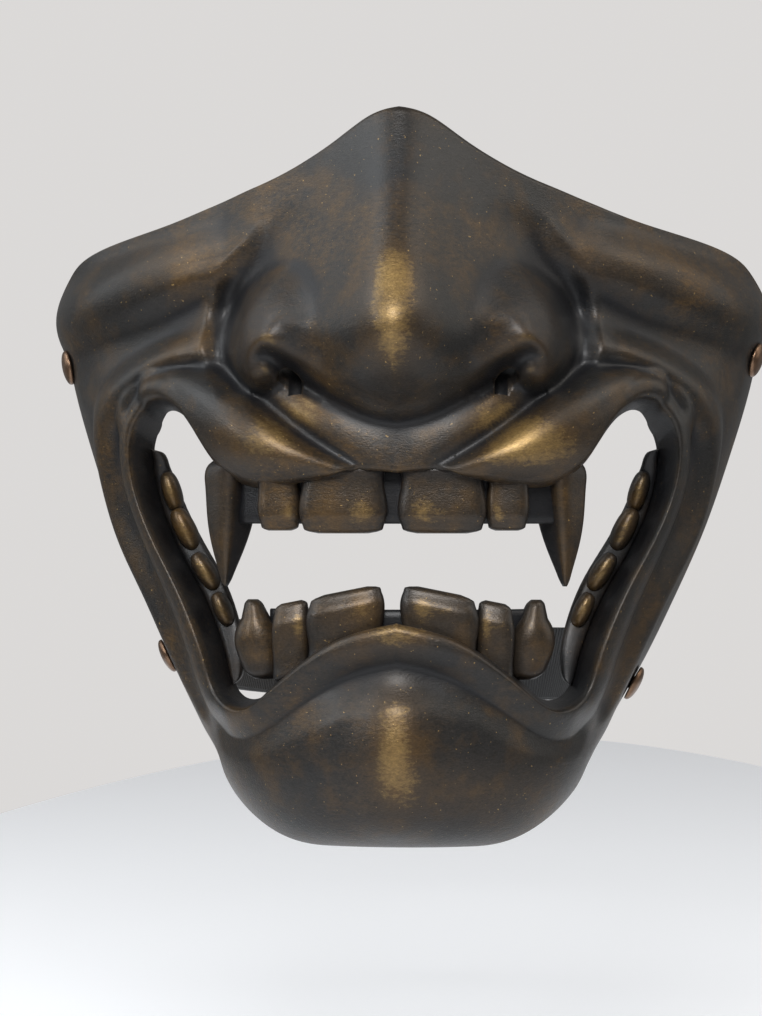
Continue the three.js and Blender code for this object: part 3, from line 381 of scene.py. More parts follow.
def shellRings():
    look = shellLook
    places = placesRound(look["around"] // 2)
    small = 0.02
    tangent = unit(np.stack([
        mouth["x"](places + small) - mouth["x"](places - small),
        mouth["z"](places + small) - mouth["z"](places - small),
    ], -1) * [mouthAcross, mouthDown])
    roll = mouth["roll"](places) * face["lipRoll"]
    x = mouth["x"](places) * mouthAcross - roll * tangent[:, 1]
    z = mouth["z"](places) * mouthDown + roll * tangent[:, 0]
    x[0] = x[-1] = 0
    startAngle, startDrop = seenFrom(x, z)
    endAngle = np.radians(mouth["edgeAngle"](places))
    endAngle[0] = endAngle[-1] = 0
    startAngle, endAngle = [mirroredRing(half, -1)[:, None] for half in (startAngle, endAngle)]
    depth = mouth["wall"](places) * face["mouthWall"]
    halves = (startDrop, mouth["edgeDrop"](places), roll, depth, mouth["lean"](places))
    startDrop, endDrop, roll, depth, lean = [mirroredRing(half)[:, None] for half in halves]
    share = (np.arange(look["outward"] + 1) / look["outward"])**look["outwardPower"]
    angle = startAngle * (1 - share) + endAngle * share
    drop = startDrop * (1 - share) + endDrop * share
    base = facePoint(angle, drop)
    normal = faceNormal(angle, drop)
    lift = liftDirection(base, normal)
    height = blurred(reliefHeight(base), *look["evenReach"])
    ball = look["noseBall"]
    tip = ball["share"] * bell(base[..., 0], 0, ball["wide"]) * bell(base[..., 2], ball["z"], ball["tall"])
    height = height * (1 - tip) + blurred(blurred(height, *ball["reach"]), *ball["reach"]) * tip
    outer = base + lift * height[..., None]
    inward = unit(outer[:, 0] - outer[:, 1])
    flat = unit(inward - (inward @ backward)[:, None] * backward)
    down = unit(backward + lean * flat)
    rings = [outer[:, k] for k in range(look["outward"], -1, -1)]
    for k in range(1, look["rollRows"] + 1):
        turn = k / look["rollRows"] * math.pi / 2
        rings.append(outer[:, 0] + roll * (inward * math.sin(turn) + down * (1 - math.cos(turn))))
    foot = rings[-1]
    for k in range(1, look["wallRows"] + 1):
        rings.append(foot + down * depth * k / look["wallRows"])
    wall = face["wall"]
    out = unit((flat * down).sum(-1, keepdims=True) * down - flat)
    end = rings[-1]
    rings.append(end + out * wall / 2 + down * look["lipDrop"])
    rings.append(end + out * wall)
    rings.append(end + out * wall - down * np.maximum(depth - wall * look["lipHeel"], 1))
    reach = look["insideReach"]
    within = blurred(lowestNear(height, reach, reach), reach, reach)
    stretch = 1 / np.clip((lift * normal).sum(-1), look["leastLean"], 1)
    inner = base + lift * (within - wall * stretch)[..., None]
    for part in np.linspace(0, 1, look["insideRows"])**look["insidePower"]:
        at = look["insideStart"] + (1 - look["insideStart"]) * part
        k = min(np.searchsorted(share, at, side="right") - 1, len(share) - 2)
        t = (at - share[k]) / (share[k + 1] - share[k])
        rings.append(inner[:, k] * (1 - t) + inner[:, k + 1] * t)
    edge = unit(outer[:, -1] - outer[:, -2])
    rings.append((rings[-1] + outer[:, -1]) / 2 + edge * look["edgeRound"])
    return np.stack(rings, 1), mirroredRing(places)


def gridFaces(around, along, closedAlong=True):
    i, k = np.meshgrid(np.arange(around), np.arange(along if closedAlong else along - 1), indexing="ij")
    j = (i + 1) % around
    m = (k + 1) % along
    corners = np.stack([i * along + k, i * along + m, j * along + m, j * along + k], -1)
    return corners.reshape(-1, 4)


def gridNormals(grid, closedAlong):
    def step(axis):
        return np.roll(grid, -1, axis=axis) - np.roll(grid, 1, axis=axis)

    return unit(np.cross(step(1) if closedAlong else np.gradient(grid, axis=1), step(0)))


def standOut(grid, rounds, closedAlong=True):
    # how far each point stands out of its neighbourhood, along its normal: hollows are below zero
    normals = gridNormals(grid, closedAlong)
    leastGap = 0.15
    soft = grid.copy()
    for unused in range(rounds):
        total = np.zeros_like(soft)
        weight = np.zeros(soft.shape[:2] + (1,))
        for axis, way in ((0, 1), (0, -1), (1, 1), (1, -1)):
            near = np.roll(soft, way, axis=axis)
            if axis == 1 and not closedAlong:
                edge = 0 if way == 1 else -1
                near[:, edge] = soft[:, edge]
            w = 1 / (np.linalg.norm(near - soft, axis=-1, keepdims=True) + leastGap)
            total += near * w
            weight += w
        soft = soft * 0.5 + 0.5 * total / weight
    return ((grid - soft) * normals).sum(-1)


def linked(name, data):
    piece = bpy.data.objects.new(name, data)
    scene.collection.objects.link(piece)
    return piece


def meshOf(name, vertices, faces, values):
    # a smooth object from points in the sculpt's millimetres, with a number of each kind at every point
    mesh = bpy.data.meshes.new(name)
    mesh.from_pydata(toFrame(vertices).tolist(), [], faces)
    mesh.update()
    for label, numbers in values.items():
        layer = mesh.attributes.new(label, "FLOAT", "POINT")
        layer.data.foreach_set("value", np.asarray(numbers, np.float32).reshape(-1))
    mesh.shade_smooth()
    return linked(name, mesh)


def facingOut(vertices, faces):
    # the faces, turned round if they enclose less than nothing
    a, b, c, d = [vertices[faces[:, k]] for k in range(4)]
    volume = (np.cross(a, b) * c).sum() / 6 + (np.cross(a, c) * d).sum() / 6
    return faces[:, ::-1] if volume < 0 else faces


def addTo(parts, grid, rubandhighlight, washandshade):
    # adds one loft of points, closed at both ends, to a piece made of several
    around, along = grid.shape[:2]
    i = np.arange(around) * along
    j = np.roll(i, -1)
    tip = np.full(around, around * along)
    foot = along - 1
    vertices = np.concatenate([grid.reshape(-1, 3), [grid[:, 0].mean(0), grid[:, -1].mean(0)]])
    faces = np.concatenate([
        gridFaces(around, along, False),
        np.stack([tip, i, j, j], -1),
        np.stack([tip + 1, j + foot, i + foot, i + foot], -1),
    ])
    fields = [np.concatenate([f.reshape(-1), [f[:, 0].mean(), f[:, -1].mean()]]) for f in (rubandhighlight, washandshade)]
    parts.append((vertices, facingOut(vertices, faces), *fields))


def pieceOf(name, parts):
    # one object from several lofts; a face that names a point twice becomes a triangle
    points, corners, rubandhighlight, washandshade = zip(*parts)
    starts = np.cumsum([0] + [len(p) for p in points])
    faces = np.concatenate([c + start for c, start in zip(corners, starts)]).tolist()
    values = {"rubandhighlight": np.concatenate(rubandhighlight), "washandshade": np.concatenate(washandshade)}
    return meshOf(name, np.concatenate(points), [list(dict.fromkeys(f)) for f in faces], values)


# Spots seen from the front of worn gold, and of painted highlights on the nose tip, the left lip lobe and
# beside the philtrum: x, z, half width, half height, strength.
goldAndHighlightSpots = [
    (0, 50, 5.5, 8, 0.55),
    (0, 34, 5, 8, 0.3),
    (30, 14, 15, 7, 0.5),
    (-32, 14, 14, 6, 0.34),
    (-20, 22, 10, 5, 0.34),
    (20, 22, 10, 5, 0.28),
    (0, -51, 6, 14, 0.45),
    (52, 56, 17, 6, 0.3),
    (-50, 56, 15, 6, 0.3),
    (-45, 40, 9, 5, 0.25),
    (0, -28, 9, 3, 0.4),
    (12, -62, 18, 7, 0.2),
]
# Painted shade and painted dark reflections seen from the front, told the same way: in the nostrils, over the
# nose wings, beside the right wing, down the bridge, below the lower lip and under the chin.
shadeSpots = [
    (24, 30, 5, 3, 0.9),
    (-24, 30, 5, 3, 0.9),
    (33, 42, 10, 11, 0.8),
    (-33, 42, 10, 11, 0.7),
    (0, 72, 6, 9, 0.6),
    (0, -78, 40, 7, 0.6),
    (40, 52, 9, 6, 0.5),
    (0, -34, 34, 5, 0.25),
]

# How worn the shell's paint is, how dark its hollows are with a dark wash and painted shade, and the painted
# shade on the mouth's wall: each gain has the height where it starts, its span and its strength.
shellWearAndShade = {
    "fineRounds": 8,
    "wideRounds": 60,
    "fineRub": (0.06, 0.5, 0.32),
    "wideRub": (0.4, 2.2, 0.4),
    "fineWashAndShade": (0.02, 0.14, 0.7),
    "wideWashAndShade": (0, 0.7, 0.9),
    "edgeRings": 5,
    "edgeRub": 0.15,
    "wallShade": 0.9,
    "insideWash": 0.35,
}


def gain(value, start, span, strength):
    return np.clip((value - start) / span, 0, 1) * strength


def spotted(grid, spots):
    return sum(strength * bell(grid[..., 0], x, wide) * bell(grid[..., 2], z, tall)
               for x, z, wide, tall, strength in spots)


def shellPiece():
    grid, places = shellRings()
    wearAndShading = shellWearAndShade
    fine = standOut(grid, wearAndShading["fineRounds"])
    wide = standOut(grid, wearAndShading["wideRounds"])
    rubandhighlight = np.clip(gain(fine, *wearAndShading["fineRub"]) + gain(wide, *wearAndShading["wideRub"]), 0, 1)
    # hollows darken with a dark wash and with painted shade
    washandshade = np.clip(gain(-fine, *wearAndShading["fineWashAndShade"]) + gain(-wide, *wearAndShading["wideWashAndShade"]), 0, 1)
    front = shellLook["outward"] + 1 + shellLook["rollRows"]
    inside = front + shellLook["wallRows"]
    # worn gold and painted highlights in spots
    rubandhighlight[:, :front] += spotted(grid[:, :front], goldAndHighlightSpots)
    # painted shade and painted dark reflections in spots
    washandshade[:, :front] += spotted(grid[:, :front], shadeSpots)
    rubandhighlight[:, :wearAndShading["edgeRings"]] *= wearAndShading["edgeRub"]
    rubandhighlight[:, front:] = 0
    # the mouth's wall is painted dark all over, painted shade inside the opening
    washandshade[:, front:inside] = wearAndShading["wallShade"]
    washandshade[:, inside:] = wearAndShading["insideWash"]
    points = grid.reshape(-1, 3)
    faces = facingOut(points, gridFaces(*grid.shape[:2]))
    values = {"rubandhighlight": rubandhighlight.clip(0, 1), "washandshade": washandshade.clip(0, 1)}
    return meshOf("maskShell", points, faces.tolist(), values), grid, places


def outerPoint(angle, drop):
    base = facePoint(angle, drop)
    return base + liftDirection(base, faceNormal(angle, drop)) * reliefHeight(base[None])[0]


nostril = {
    "x": 24,
    "z": 29.8,
    "halfWide": 3.1,
    "halfTall": 1.6,
    "slant": 35,
    "rise": 55,
    "along": (-5, 2, 9),
    "sides": 40,
    "sharpTurn": 60,
}


def settle(piece):
    # makes the modified mesh the piece's own
    seen = piece.evaluated_get(bpy.context.evaluated_depsgraph_get())
    done = bpy.data.meshes.new_from_object(seen)
    piece.modifiers.clear()
    piece.data = done
    piece.data.materials.clear()


def cutNostrils(piece):
    # two slanted oval holes that run up and back through the wall
    turn = np.linspace(0, 2 * math.pi, nostril["sides"] + 1)[:-1]
    slant = math.radians(nostril["slant"])
    rise = math.radians(nostril["rise"])
    wide = np.cos(turn) * nostril["halfWide"]
    tall = np.sin(turn) * nostril["halfTall"]
    up = wide * math.sin(slant) + tall * math.cos(slant)
    z = nostril["z"] * partDown
    for side in (-1, 1):
        x = side * nostril["x"] * partAcross
        y = float(outerPoint(*seenFrom(np.array(x), np.array(z)))[1])
        across = x + side * (wide * math.cos(slant) - tall * math.sin(slant))
        rings = []
        for along in nostril["along"]:
            back = y + along * math.cos(rise) - up * math.sin(rise)
            height = z + along * math.sin(rise) + up * math.cos(rise)
            rings.append(np.stack([across, back, height], -1))
        grid = np.stack(rings, 1)
        parts = []
        # the cutter is dark all over, so the cut faces carry painted shade inside the holes
        addTo(parts, grid, np.zeros(grid.shape[:2]), np.ones(grid.shape[:2]))
        cutter = pieceOf("nostrilCutter", parts)
        cut = piece.modifiers.new("nostril", "BOOLEAN")
        cut.operation = "DIFFERENCE"
        cut.solver = "MANIFOLD"
        cut.object = cutter
        settle(piece)
        bpy.data.objects.remove(cutter)
    piece.data.set_sharp_from_angle(angle=math.radians(nostril["sharpTurn"]))


maskShell, shellGrid, spokePlaces = shellPiece()
cutNostrils(maskShell)
print("stage: shell", len(maskShell.data.polygons))

# The end of the open mouth's wall at each spoke, for what stands in it.
wallEnd = shellGrid[:, shellLook["outward"] + shellLook["rollRows"] + shellLook["wallRows"]]


def roundedOutline(corners, blend, count):
    # a smooth closed outline through the sides of a polygon; blend is the share of it that each corner takes
    corners = np.array(corners + corners[:1], float)
    lengths = np.linalg.norm(np.diff(corners, axis=0), axis=1)
    along = np.concatenate([[0], np.cumsum(lengths)]) / lengths.sum()
    finer = 8
    fine = count * finer
    places = np.arange(fine) / fine
    line = np.stack([np.interp(places, along, corners[:, c]) for c in (0, 1)], -1)
    window = max(int(fine * blend / 2), 1)
    line = sum(np.roll(line, s, axis=0) for s in range(-window, window + 1)) / (2 * window + 1)
    return line[::finer]


# The front rows' teeth and gums, and how the teeth narrow. Shares run from root to tip.
toothLook = {
    "sides": 56,
    "steps": 40,
    "depth": 7,
    "gumSides": 24,
    "gumThickness": 4,
    "gumBack": 0.55,
    "gumRound": 0.08,
    "upperGum": 13,
    "lowerGum": 10.5,
    "lowerSlope": 0.2,
    "shift": -1.1,
    "eggWaist": 0.55,
    "eggTurn": (1.25, 0.05, 0.96),
    "fangRoot": (0.2, 0.85),
    "blockThin": (0.72, 0.35),
}
# How their paint is worn, with a painted highlight on the front teeth, a painted lit side and a painted
# shaded side on the fangs, and painted shade on the teeth's sides and roots: gains as for the shell, and
# bells of a middle and a width.
toothWearAndShading = {
    "rounds": 8,
    "edgeRub": (0, 0.5, 0.2),
    "faceHalf": 0.75,
    "faceFrom": -0.4,
    "faceRub": 0.15,
    "bandRub": 0.12,
    "band": (0.72, 0.2),
    "highlightRub": 0.2,
    "highlightAcross": (0.5, 0.3),
    "highlightDown": (0.62, 0.25),
    "fangRubAndLitSide": (0.6, 0.08),
    "sideShade": (0.775, 0.25, 0.75),
    "fangSideShade": (0.12, 0.2, 0.95),
    "rootShade": (-0.3, 0.7 / 3, 0.7),
    "mostWashAndShade": 0.9,
}
squareSection = [(0, 0), (1, 0), (1, 1), (0, 1)]
blockSection = [(-1, -0.72), (-0.6, -0.97), (0.6, -0.97), (1, -0.72), (0.95, 1), (-0.95, 1)]
fangSection = [(-1, 0.15), (-0.3, -0.9), (0.0, -1), (0.95, 0.35), (0.8, 0.95), (-0.7, 0.95)]
eggSection = [(-1, -0.5), (-0.5, -1), (0.5, -1), (1, -0.5), (1, 0.6), (-1, 0.6)]
# From the middle out: root and tip as x and z, front face, half widths at root, middle and tip, depth, kind.
upperTeeth = [
    (10.9, 9.5, 10.9, -5.6, -53, 9.2, 9.7, 9.3, 1, "block"),
    (25.4, 8, 25.1, -5.0, -51, 4.7, 4.8, 4.3, 1, "block"),
    (36.0, 12, 38.0, -17.5, -47, 8, 5.6, 0.9, 1.7, "fang"),
]
lowerTeeth = [
    (10.4, -33, 10.3, -18.2, -54, 8.3, 8.6, 8.2, 1, "block"),
    (22.4, -38, 22.6, -20.8, -51.5, 4.1, 4.3, 3.8, 1, "block"),
    (28.8, -38, 31.6, -20.4, -48.5, 5, 6, 2.8, 1.5, "egg"),
]
toothForms = {"block": (blockSection, 0.12), "fang": (fangSection, 0.1), "egg": (eggSection, 0.25)}
toothEnd = splineThrough(
    [0, 0.04, 0.12, 0.5, 0.82, 0.92, 0.97, 1],
    [0.7, 0.92, 0.99, 1, 0.995, 0.95, 0.85, 0.6],
)


def toothFields(kind, grid, section, share):
    # how worn a front tooth's paint is at each point, with painted highlights, and how dark its painted shade
    # is
    wearAndShading = toothWearAndShading
    across = section[:, :1]
    ahead = section[:, 1:] < wearAndShading["faceFrom"]
    fine = standOut(grid, wearAndShading["rounds"], False)
    middle = slice(len(share) // 4, len(share) * 3 // 4)
    way = 1 if np.median(fine[:, middle]) > 0 else -1
    face = np.exp(-(across / wearAndShading["faceHalf"])**4) * ahead
    rubandhighlight = gain(way * fine, *wearAndShading["edgeRub"])
    rubandhighlight = rubandhighlight + face * (wearAndShading["faceRub"] + wearAndShading["bandRub"] * bell(share, *wearAndShading["band"]))
    # the sides darken with painted shade
    sides = gain(np.abs(across), *wearAndShading["sideShade"])
    if kind == "block":
        # a painted highlight near the inner edge of the front teeth
        highlight = bell(across, *wearAndShading["highlightAcross"]) * bell(share, *wearAndShading["highlightDown"])
        rubandhighlight = rubandhighlight + wearAndShading["highlightRub"] * highlight * ahead
    if kind == "fang":
        # the fang's outer side gets a painted lit side and its inner side painted shade
        kept, litSide = wearAndShading["fangRubAndLitSide"]
        sides = gain(across, *wearAndShading["fangSideShade"])
        rubandhighlight = rubandhighlight * kept + litSide * (across < 0)
    # the root darkens with painted shade under the lip
    return rubandhighlight, np.clip(gain(-share, *wearAndShading["rootShade"]) + sides, 0, wearAndShading["mostWashAndShade"])


def frontTooth(parts, row, side):
    rootX, rootZ, tipX, tipZ, front, rootHalf, midHalf, tipHalf, deep, kind = row
    corners, rounding = toothForms[kind]
    section = roundedOutline(corners, rounding, toothLook["sides"])
    deep = deep * toothLook["depth"] / 2
    share = np.linspace(0, 1, toothLook["steps"])[None]
    wide = splineThrough([0, 0.5, 1], [rootHalf, midHalf, tipHalf])(share) * toothEnd(share)
    thick = deep * wide / max(rootHalf, midHalf)
    if kind == "egg":
        waist = toothLook["eggWaist"]
        speed, start, end = toothLook["eggTurn"]
        turn = np.clip(share * speed + start, 0, 1) * math.pi * end
        wide = wide * (waist + (1 - waist) * np.sin(turn)**0.5)
    if kind == "fang":
        root, pinch = toothLook["fangRoot"]
        wide = wide * np.sqrt(1 - (1 - np.clip(share / root, 0, 1))**2 * pinch)
    if kind == "block":
        begin, thin = toothLook["blockThin"]
        thick = deep * toothEnd(share) * (1 - thin * ease(begin, 1, share))
    x = (side * (rootX + (tipX - rootX) * share) + toothLook["shift"]) * mouthAcross
    x = x - side * section[:, :1] * wide * mouthAcross
    y = front * partThrough + deep + section[:, 1:] * thick
    z = (rootZ + (tipZ - rootZ) * share) * mouthDown + 0 * x
    if kind == "block" and tipZ > rootZ:
        z = z + toothLook["lowerSlope"] * section[:, :1] * wide
    grid = np.stack([x, y, z], -1)
    addTo(parts, grid, *toothFields(kind, grid, section, share[0]))


def gumBar(parts, rows, top, bottom):
    half = rows[-1][0]
    line = splineThrough([0] + [r[0] for r in rows], [rows[0][4]] + [r[4] for r in rows])
    across = np.linspace(-half, half, toothLook["steps"])
    front = line(np.abs(across)) * partThrough + toothLook["depth"] * toothLook["gumBack"]
    section = roundedOutline(squareSection, toothLook["gumRound"], toothLook["gumSides"])
    y = front + section[:, :1] * toothLook["gumThickness"]
    grid = np.stack([across * mouthAcross + 0 * y, y, bottom + section[:, 1:] * (top - bottom) + 0 * y], -1)
    blank = np.zeros(grid.shape[:2])
    # the gum bar is dark all over, painted shade behind the lips
    addTo(parts, grid, blank, blank + 1)


def toothRow(name, rows, rootZ, way):
    parts = []
    root = rootZ * mouthDown
    end = root + way * toothLook["upperGum" if way < 0 else "lowerGum"]
    gumBar(parts, rows, max(root, end), min(root, end))
    for row in rows:
        for side in (1, -1):
            frontTooth(parts, row, side)
    return pieceOf(name, parts)


upperRow = toothRow("upperTeeth", upperTeeth, upperTeeth[0][1], -1)
lowerRow = toothRow("lowerTeeth", lowerTeeth, lowerTeeth[0][1], 1)

# Side teeth in the mouth's corners: place round the mouth, way in from its wall, half width and half height.
cheekTeeth = [
    (10.55, 3, 2.3, 4.8),
    (11.5, 3, 2.6, 5.5),
    (12.65, 2.7, 2.4, 5.1),
    (13.7, 2.5, 2.2, 4.2),
]
cheekLook = {
    "from": 9.3,
    "to": 15.8,
    "steps": 80,
    "gap": -0.4,
    "reach": 5.7,
    "leastReach": 0.2,
    "swell": 0.35,
    "front": 3,
    "back": 0.2,
    "gumRound": 0.2,
    "gumShade": 0.75,
    "toothSides": 40,
    "toothSteps": 30,
    "toothRound": 0.3,
    "toothSwell": 0.62,
    "rubandhighlight": 0.45,
    "shadeStart": 1.6,
}


def alongLine(place, stops, line):
    return np.array([np.interp(place, stops, line[:, c]) for c in range(3)]).T


def cheekRow(name, side):
    # egg-shaped teeth on a gum along the end of the mouth's wall
    look = cheekLook
    parts = []
    half = len(wallEnd) // 2
    order = np.arange(half + 1) if side > 0 else np.arange(len(wallEnd), half - 1, -1) % len(wallEnd)
    stops = np.linspace(look["from"], look["to"], look["steps"])
    line = alongLine(stops, spokePlaces[order], wallEnd[order])
    slope = np.gradient(line, axis=0)
    inward = unit(np.stack([slope[:, 2], 0 * slope[:, 1], -slope[:, 0]], -1)) * side
    reach = np.sin(np.linspace(0, math.pi, look["steps"])).clip(0, 1)**look["swell"]
    reach = look["reach"] * reach + look["leastReach"]
    section = roundedOutline(squareSection, look["gumRound"], toothLook["gumSides"])
    grid = line + inward * (look["gap"] + section[:, :1] * reach)[..., None]
    grid[..., 1] += section[:, 1:] * (look["front"] + look["back"]) - look["front"]
    blank = np.zeros(grid.shape[:2])
    # the gum is darkened with painted shade
    addTo(parts, grid, blank, blank + look["gumShade"])
    section = roundedOutline([(-1, -1), (1, -1), (1, 1), (-1, 1)], look["toothRound"], look["toothSides"])
    turn = np.linspace(-math.pi / 2, math.pi / 2, look["toothSteps"])
    swell = np.cos(turn).clip(0, 1)**look["toothSwell"]
    for place, offset, wide, tall in cheekTeeth:
        way = unit(alongLine(place, stops, inward))
        up = np.cross(way, forward)
        middle = alongLine(place, stops, line) + way * offset * mouthAcross + forward * look["front"]
        grid = (middle + way * (section[:, :1] * wide * swell)[..., None]
                - forward * (section[:, 1:] * toothLook["depth"] / 2 * swell)[..., None]
                + up * (np.sin(turn) * tall * mouthDown)[None, :, None])
        rubandhighlight = np.clip(-section[:, 1:], 0, 1)**3 * swell * look["rubandhighlight"]
        # the teeth's ends darken with painted shade
        washandshade = np.clip(1 - swell * look["shadeStart"], 0, 1) + 0 * rubandhighlight
        addTo(parts, grid, rubandhighlight, washandshade)
    return pieceOf(name, parts)


cheekLeft = cheekRow("cheekTeethLeft", -1)
cheekRight = cheekRow("cheekTeethRight", 1)
print("stage: teeth")

# Rivets and the straps that they hold.
rivetLook = {
    "headRadius": 4.2,
    "headHeight": 1.9,
    "shankRadius": 1.6,
    "capRadius": 4.2,
    "capThickness": 1.2,
    "sides": 64,
    "domeSteps": 14,
}
strapLook = {
    "width": 20,
    "thickness": 2,
    "tab": 9,
    "bulge": 4,
    "bulgeShare": 0.3,
    "steps": 420,
    "turnSteps": 15,
    "sideSteps": 25,
    "edge": (0.07, 0.35),
    "ribHeight": 0.2,
    "ribPitch": 1.5,
    "ribReach": 0.955,
    "ribShare": 0.46,
    "ribEnds": 3,
    "sharpTurn": 50,
    "upperReach": 126,
    "upperTilt": 16,
    "lowerReach": 118,
    "lowerTilt": -4.5,
}
rivets = [
    ("rivet_upper_left", -1, 34.5, 10, strapLook["upperTilt"]),
    ("rivet_upper_right", 1, 36, 10, strapLook["upperTilt"]),
    ("rivet_lower_left", -1, -35, 9, strapLook["lowerTilt"]),
    ("rivet_lower_right", 1, -41, 9, strapLook["lowerTilt"]),
]


def rivetSeat(name, side, z, inset, tilt):
    drop = -z
    rear = station["back"](drop) * partThrough
    front = station["front"](drop) * partThrough
    turned = np.clip(1 - (rear - inset - front) / (rear - front), 0, 1)**(1 / station["pinch"](drop))
    angle = math.acos(turned) * side
    small = 0.02
    head = outerPoint(angle, drop)
    around = outerPoint(angle + small, drop) - outerPoint(angle - small, drop)
    down = outerPoint(angle, drop + small * 100) - outerPoint(angle, drop - small * 100)
    normal = unit(np.cross(down, around))
    across = unit(np.array([0, 0, 1.0]) - normal[2] * normal)
    along = unit(np.cross(across, normal) * side)
    tilt = math.radians(tilt)
    run = along * math.cos(tilt) + across * math.sin(tilt)
    wide = across * math.cos(tilt) - along * math.sin(tilt)
    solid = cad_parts[name]
    points = np.array([v.co for v in solid.data.vertices], float) * 1000 + seatInside
    low = ((points - head) @ normal).min()
    depth = -low - rivetLook["capThickness"] - strapLook["thickness"] - face["clearance"]
    return {"name": name, "face": head, "normal": normal, "run": run, "wide": wide, "side": side,
            "leave": inset + face["wall"], "depth": depth, "tilt": tilt}


seats = [rivetSeat(*row) for row in rivets]


def rivetPiece(seat):
    # a turned profile: the dome and its lip, the shank, and the clenched cap with its dimple
    grip = seat["depth"] + strapLook["thickness"] + face["clearance"] * 2
    radius, height, shank = rivetLook["headRadius"], rivetLook["headHeight"], rivetLook["shankRadius"]
    turn = np.linspace(0, math.pi / 2, rivetLook["domeSteps"])
    profile = [(radius * math.sin(t), height * (0.25 + 0.75 * math.cos(t))) for t in turn]
    profile[0] = (0.05, height)
    profile += [(radius + 0.02, 0.22 * height), (radius - 0.05, 0.04), (radius - 0.25, 0)]
    cap = rivetLook["capRadius"]
    low = -grip - rivetLook["capThickness"]
    profile += [(shank, 0), (shank, -grip), (cap - 0.2, -grip), (cap, -grip - 0.25)]
    profile += [(cap, low + 0.35), (cap - 0.35, low), (1.2, low + 0.05), (0.9, low + 0.35), (0.05, low + 0.4)]
    profile = np.array(profile)
    around = np.arange(rivetLook["sides"]) / rivetLook["sides"] * 2 * math.pi
    side = unit(np.cross(seat["normal"], [0, 0, 1.0]))
    up = np.cross(side, seat["normal"])
    ring = np.cos(around)[:, None] * side + np.sin(around)[:, None] * up
    centre = seat["face"] + seat["normal"] * face["clearance"]
    grid = centre + ring[:, None] * profile[None, :, :1] + seat["normal"] * profile[None, :, 1:]
    worn = np.linspace(1, 0, len(profile))[None] * np.ones((len(around), 1))
    parts = []
    addTo(parts, grid, worn, 0 * worn)
    return pieceOf(seat["name"].title().replace("_", "").replace("Rivet", "rivet"), parts)


rivetPieces = [rivetPiece(seat) for seat in seats]


def strapPath(left, right, reach):
    # a band's middle line from one rivet round the back to the other, with its way across and its normal
    starts = [s["face"] - s["normal"] * (s["depth"] + strapLook["thickness"] / 2) for s in (left, right)]
    rearY = (starts[0][1] + starts[1][1]) / 2 + reach
    rearZ = (starts[0][2] + starts[1][2]) / 2 + reach * math.tan(left["tilt"])
    sides = []
    upright = np.array([0, 0, 1.0])
    for seat, start in zip((left, right), starts):
        points = [(start - seat["run"] * strapLook["tab"], seat["wide"]), (start, seat["wide"])]
        leave = start + seat["run"] * seat["leave"]
        for share in np.linspace(0, 1, strapLook["turnSteps"])[:-1]:
            turn = share * math.pi / 2
            bulge = strapLook["bulge"] * ease(0, strapLook["bulgeShare"], share)
            place = np.array([
                (leave[0] + seat["side"] * bulge) * math.cos(turn),
                leave[1] + (rearY - leave[1]) * math.sin(turn),
                leave[2] + (rearZ - leave[2]) * math.sin(turn),
            ])
            level = ease(0, 1, share)
            points.append((place, unit(seat["wide"] * (1 - level) + upright * level)))
        sides.append(points)
    path = sides[0] + [(np.array([0, rearY, rearZ]), upright)] + sides[1][::-1]
    points, across = [np.array(column) for column in zip(*path)]
    length = np.concatenate([[0], np.cumsum(np.linalg.norm(np.diff(points, axis=0), axis=1))])
    fine = np.linspace(0, length[-1], strapLook["steps"])
    line = np.stack([splineThrough(length, points[:, c])(fine) for c in range(3)], -1)
    run = unit(np.gradient(line, axis=0))
    thick = unit(np.cross(run, unit(alongLine(fine, length, across))))
    return line, np.cross(thick, run), thick, round(length[-1])


def strapPiece(name, path):
    line, wide, thick, length = path
    print("strap:", name, length, "mm long")
    half = strapLook["width"] / 2
    deep = strapLook["thickness"] / 2 - strapLook["ribHeight"]
    rounded, least = strapLook["edge"]
    w = np.linspace(-1, 1, strapLook["sideSteps"])
    top = deep * (least + (1 - least) * np.clip((1 - np.abs(w)) / rounded, 0, 1)**0.5)
    outline = np.concatenate([np.stack([w * half, top], -1), np.stack([w[::-1] * half, -top[::-1]], -1)])
    grid = line[None] + outline[:, None, :1] * wide[None] + outline[:, None, 1:] * thick[None]
    blank = np.zeros(grid.shape[:2])
    parts = []
    addTo(parts, grid, blank, blank)
    return pieceOf(name, parts)


upperPath = strapPath(seats[0], seats[1], strapLook["upperReach"])
lowerPath = strapPath(seats[2], seats[3], strapLook["lowerReach"])
upperStrap = strapPiece("upperStrap", upperPath)
lowerStrap = strapPiece("lowerStrap", lowerPath)
print("stage: straps")


# Colours and finish of the paint.
# dark is the colour of the dark wash and the painted shade, gold that of the worn gold and the painted
# highlights
paintLook = {
    "dark": (0.003, 0.0035, 0.005, 1),
    "body": (0.016, 0.0155, 0.015, 1),
    "brown": (0.064, 0.036, 0.012, 1),
    "gold": (0.38, 0.245, 0.088, 1),
    "roughness": 0.34,
    "toothRoughness": 0.30,
    "specular": 0.3,
    "coat": 0.06,
    "coatRoughness": 0.22,
    "bump": 0.9,
    "bumpDistance": 0.00016,
    "toothBumpDistance": 0.00013,
}
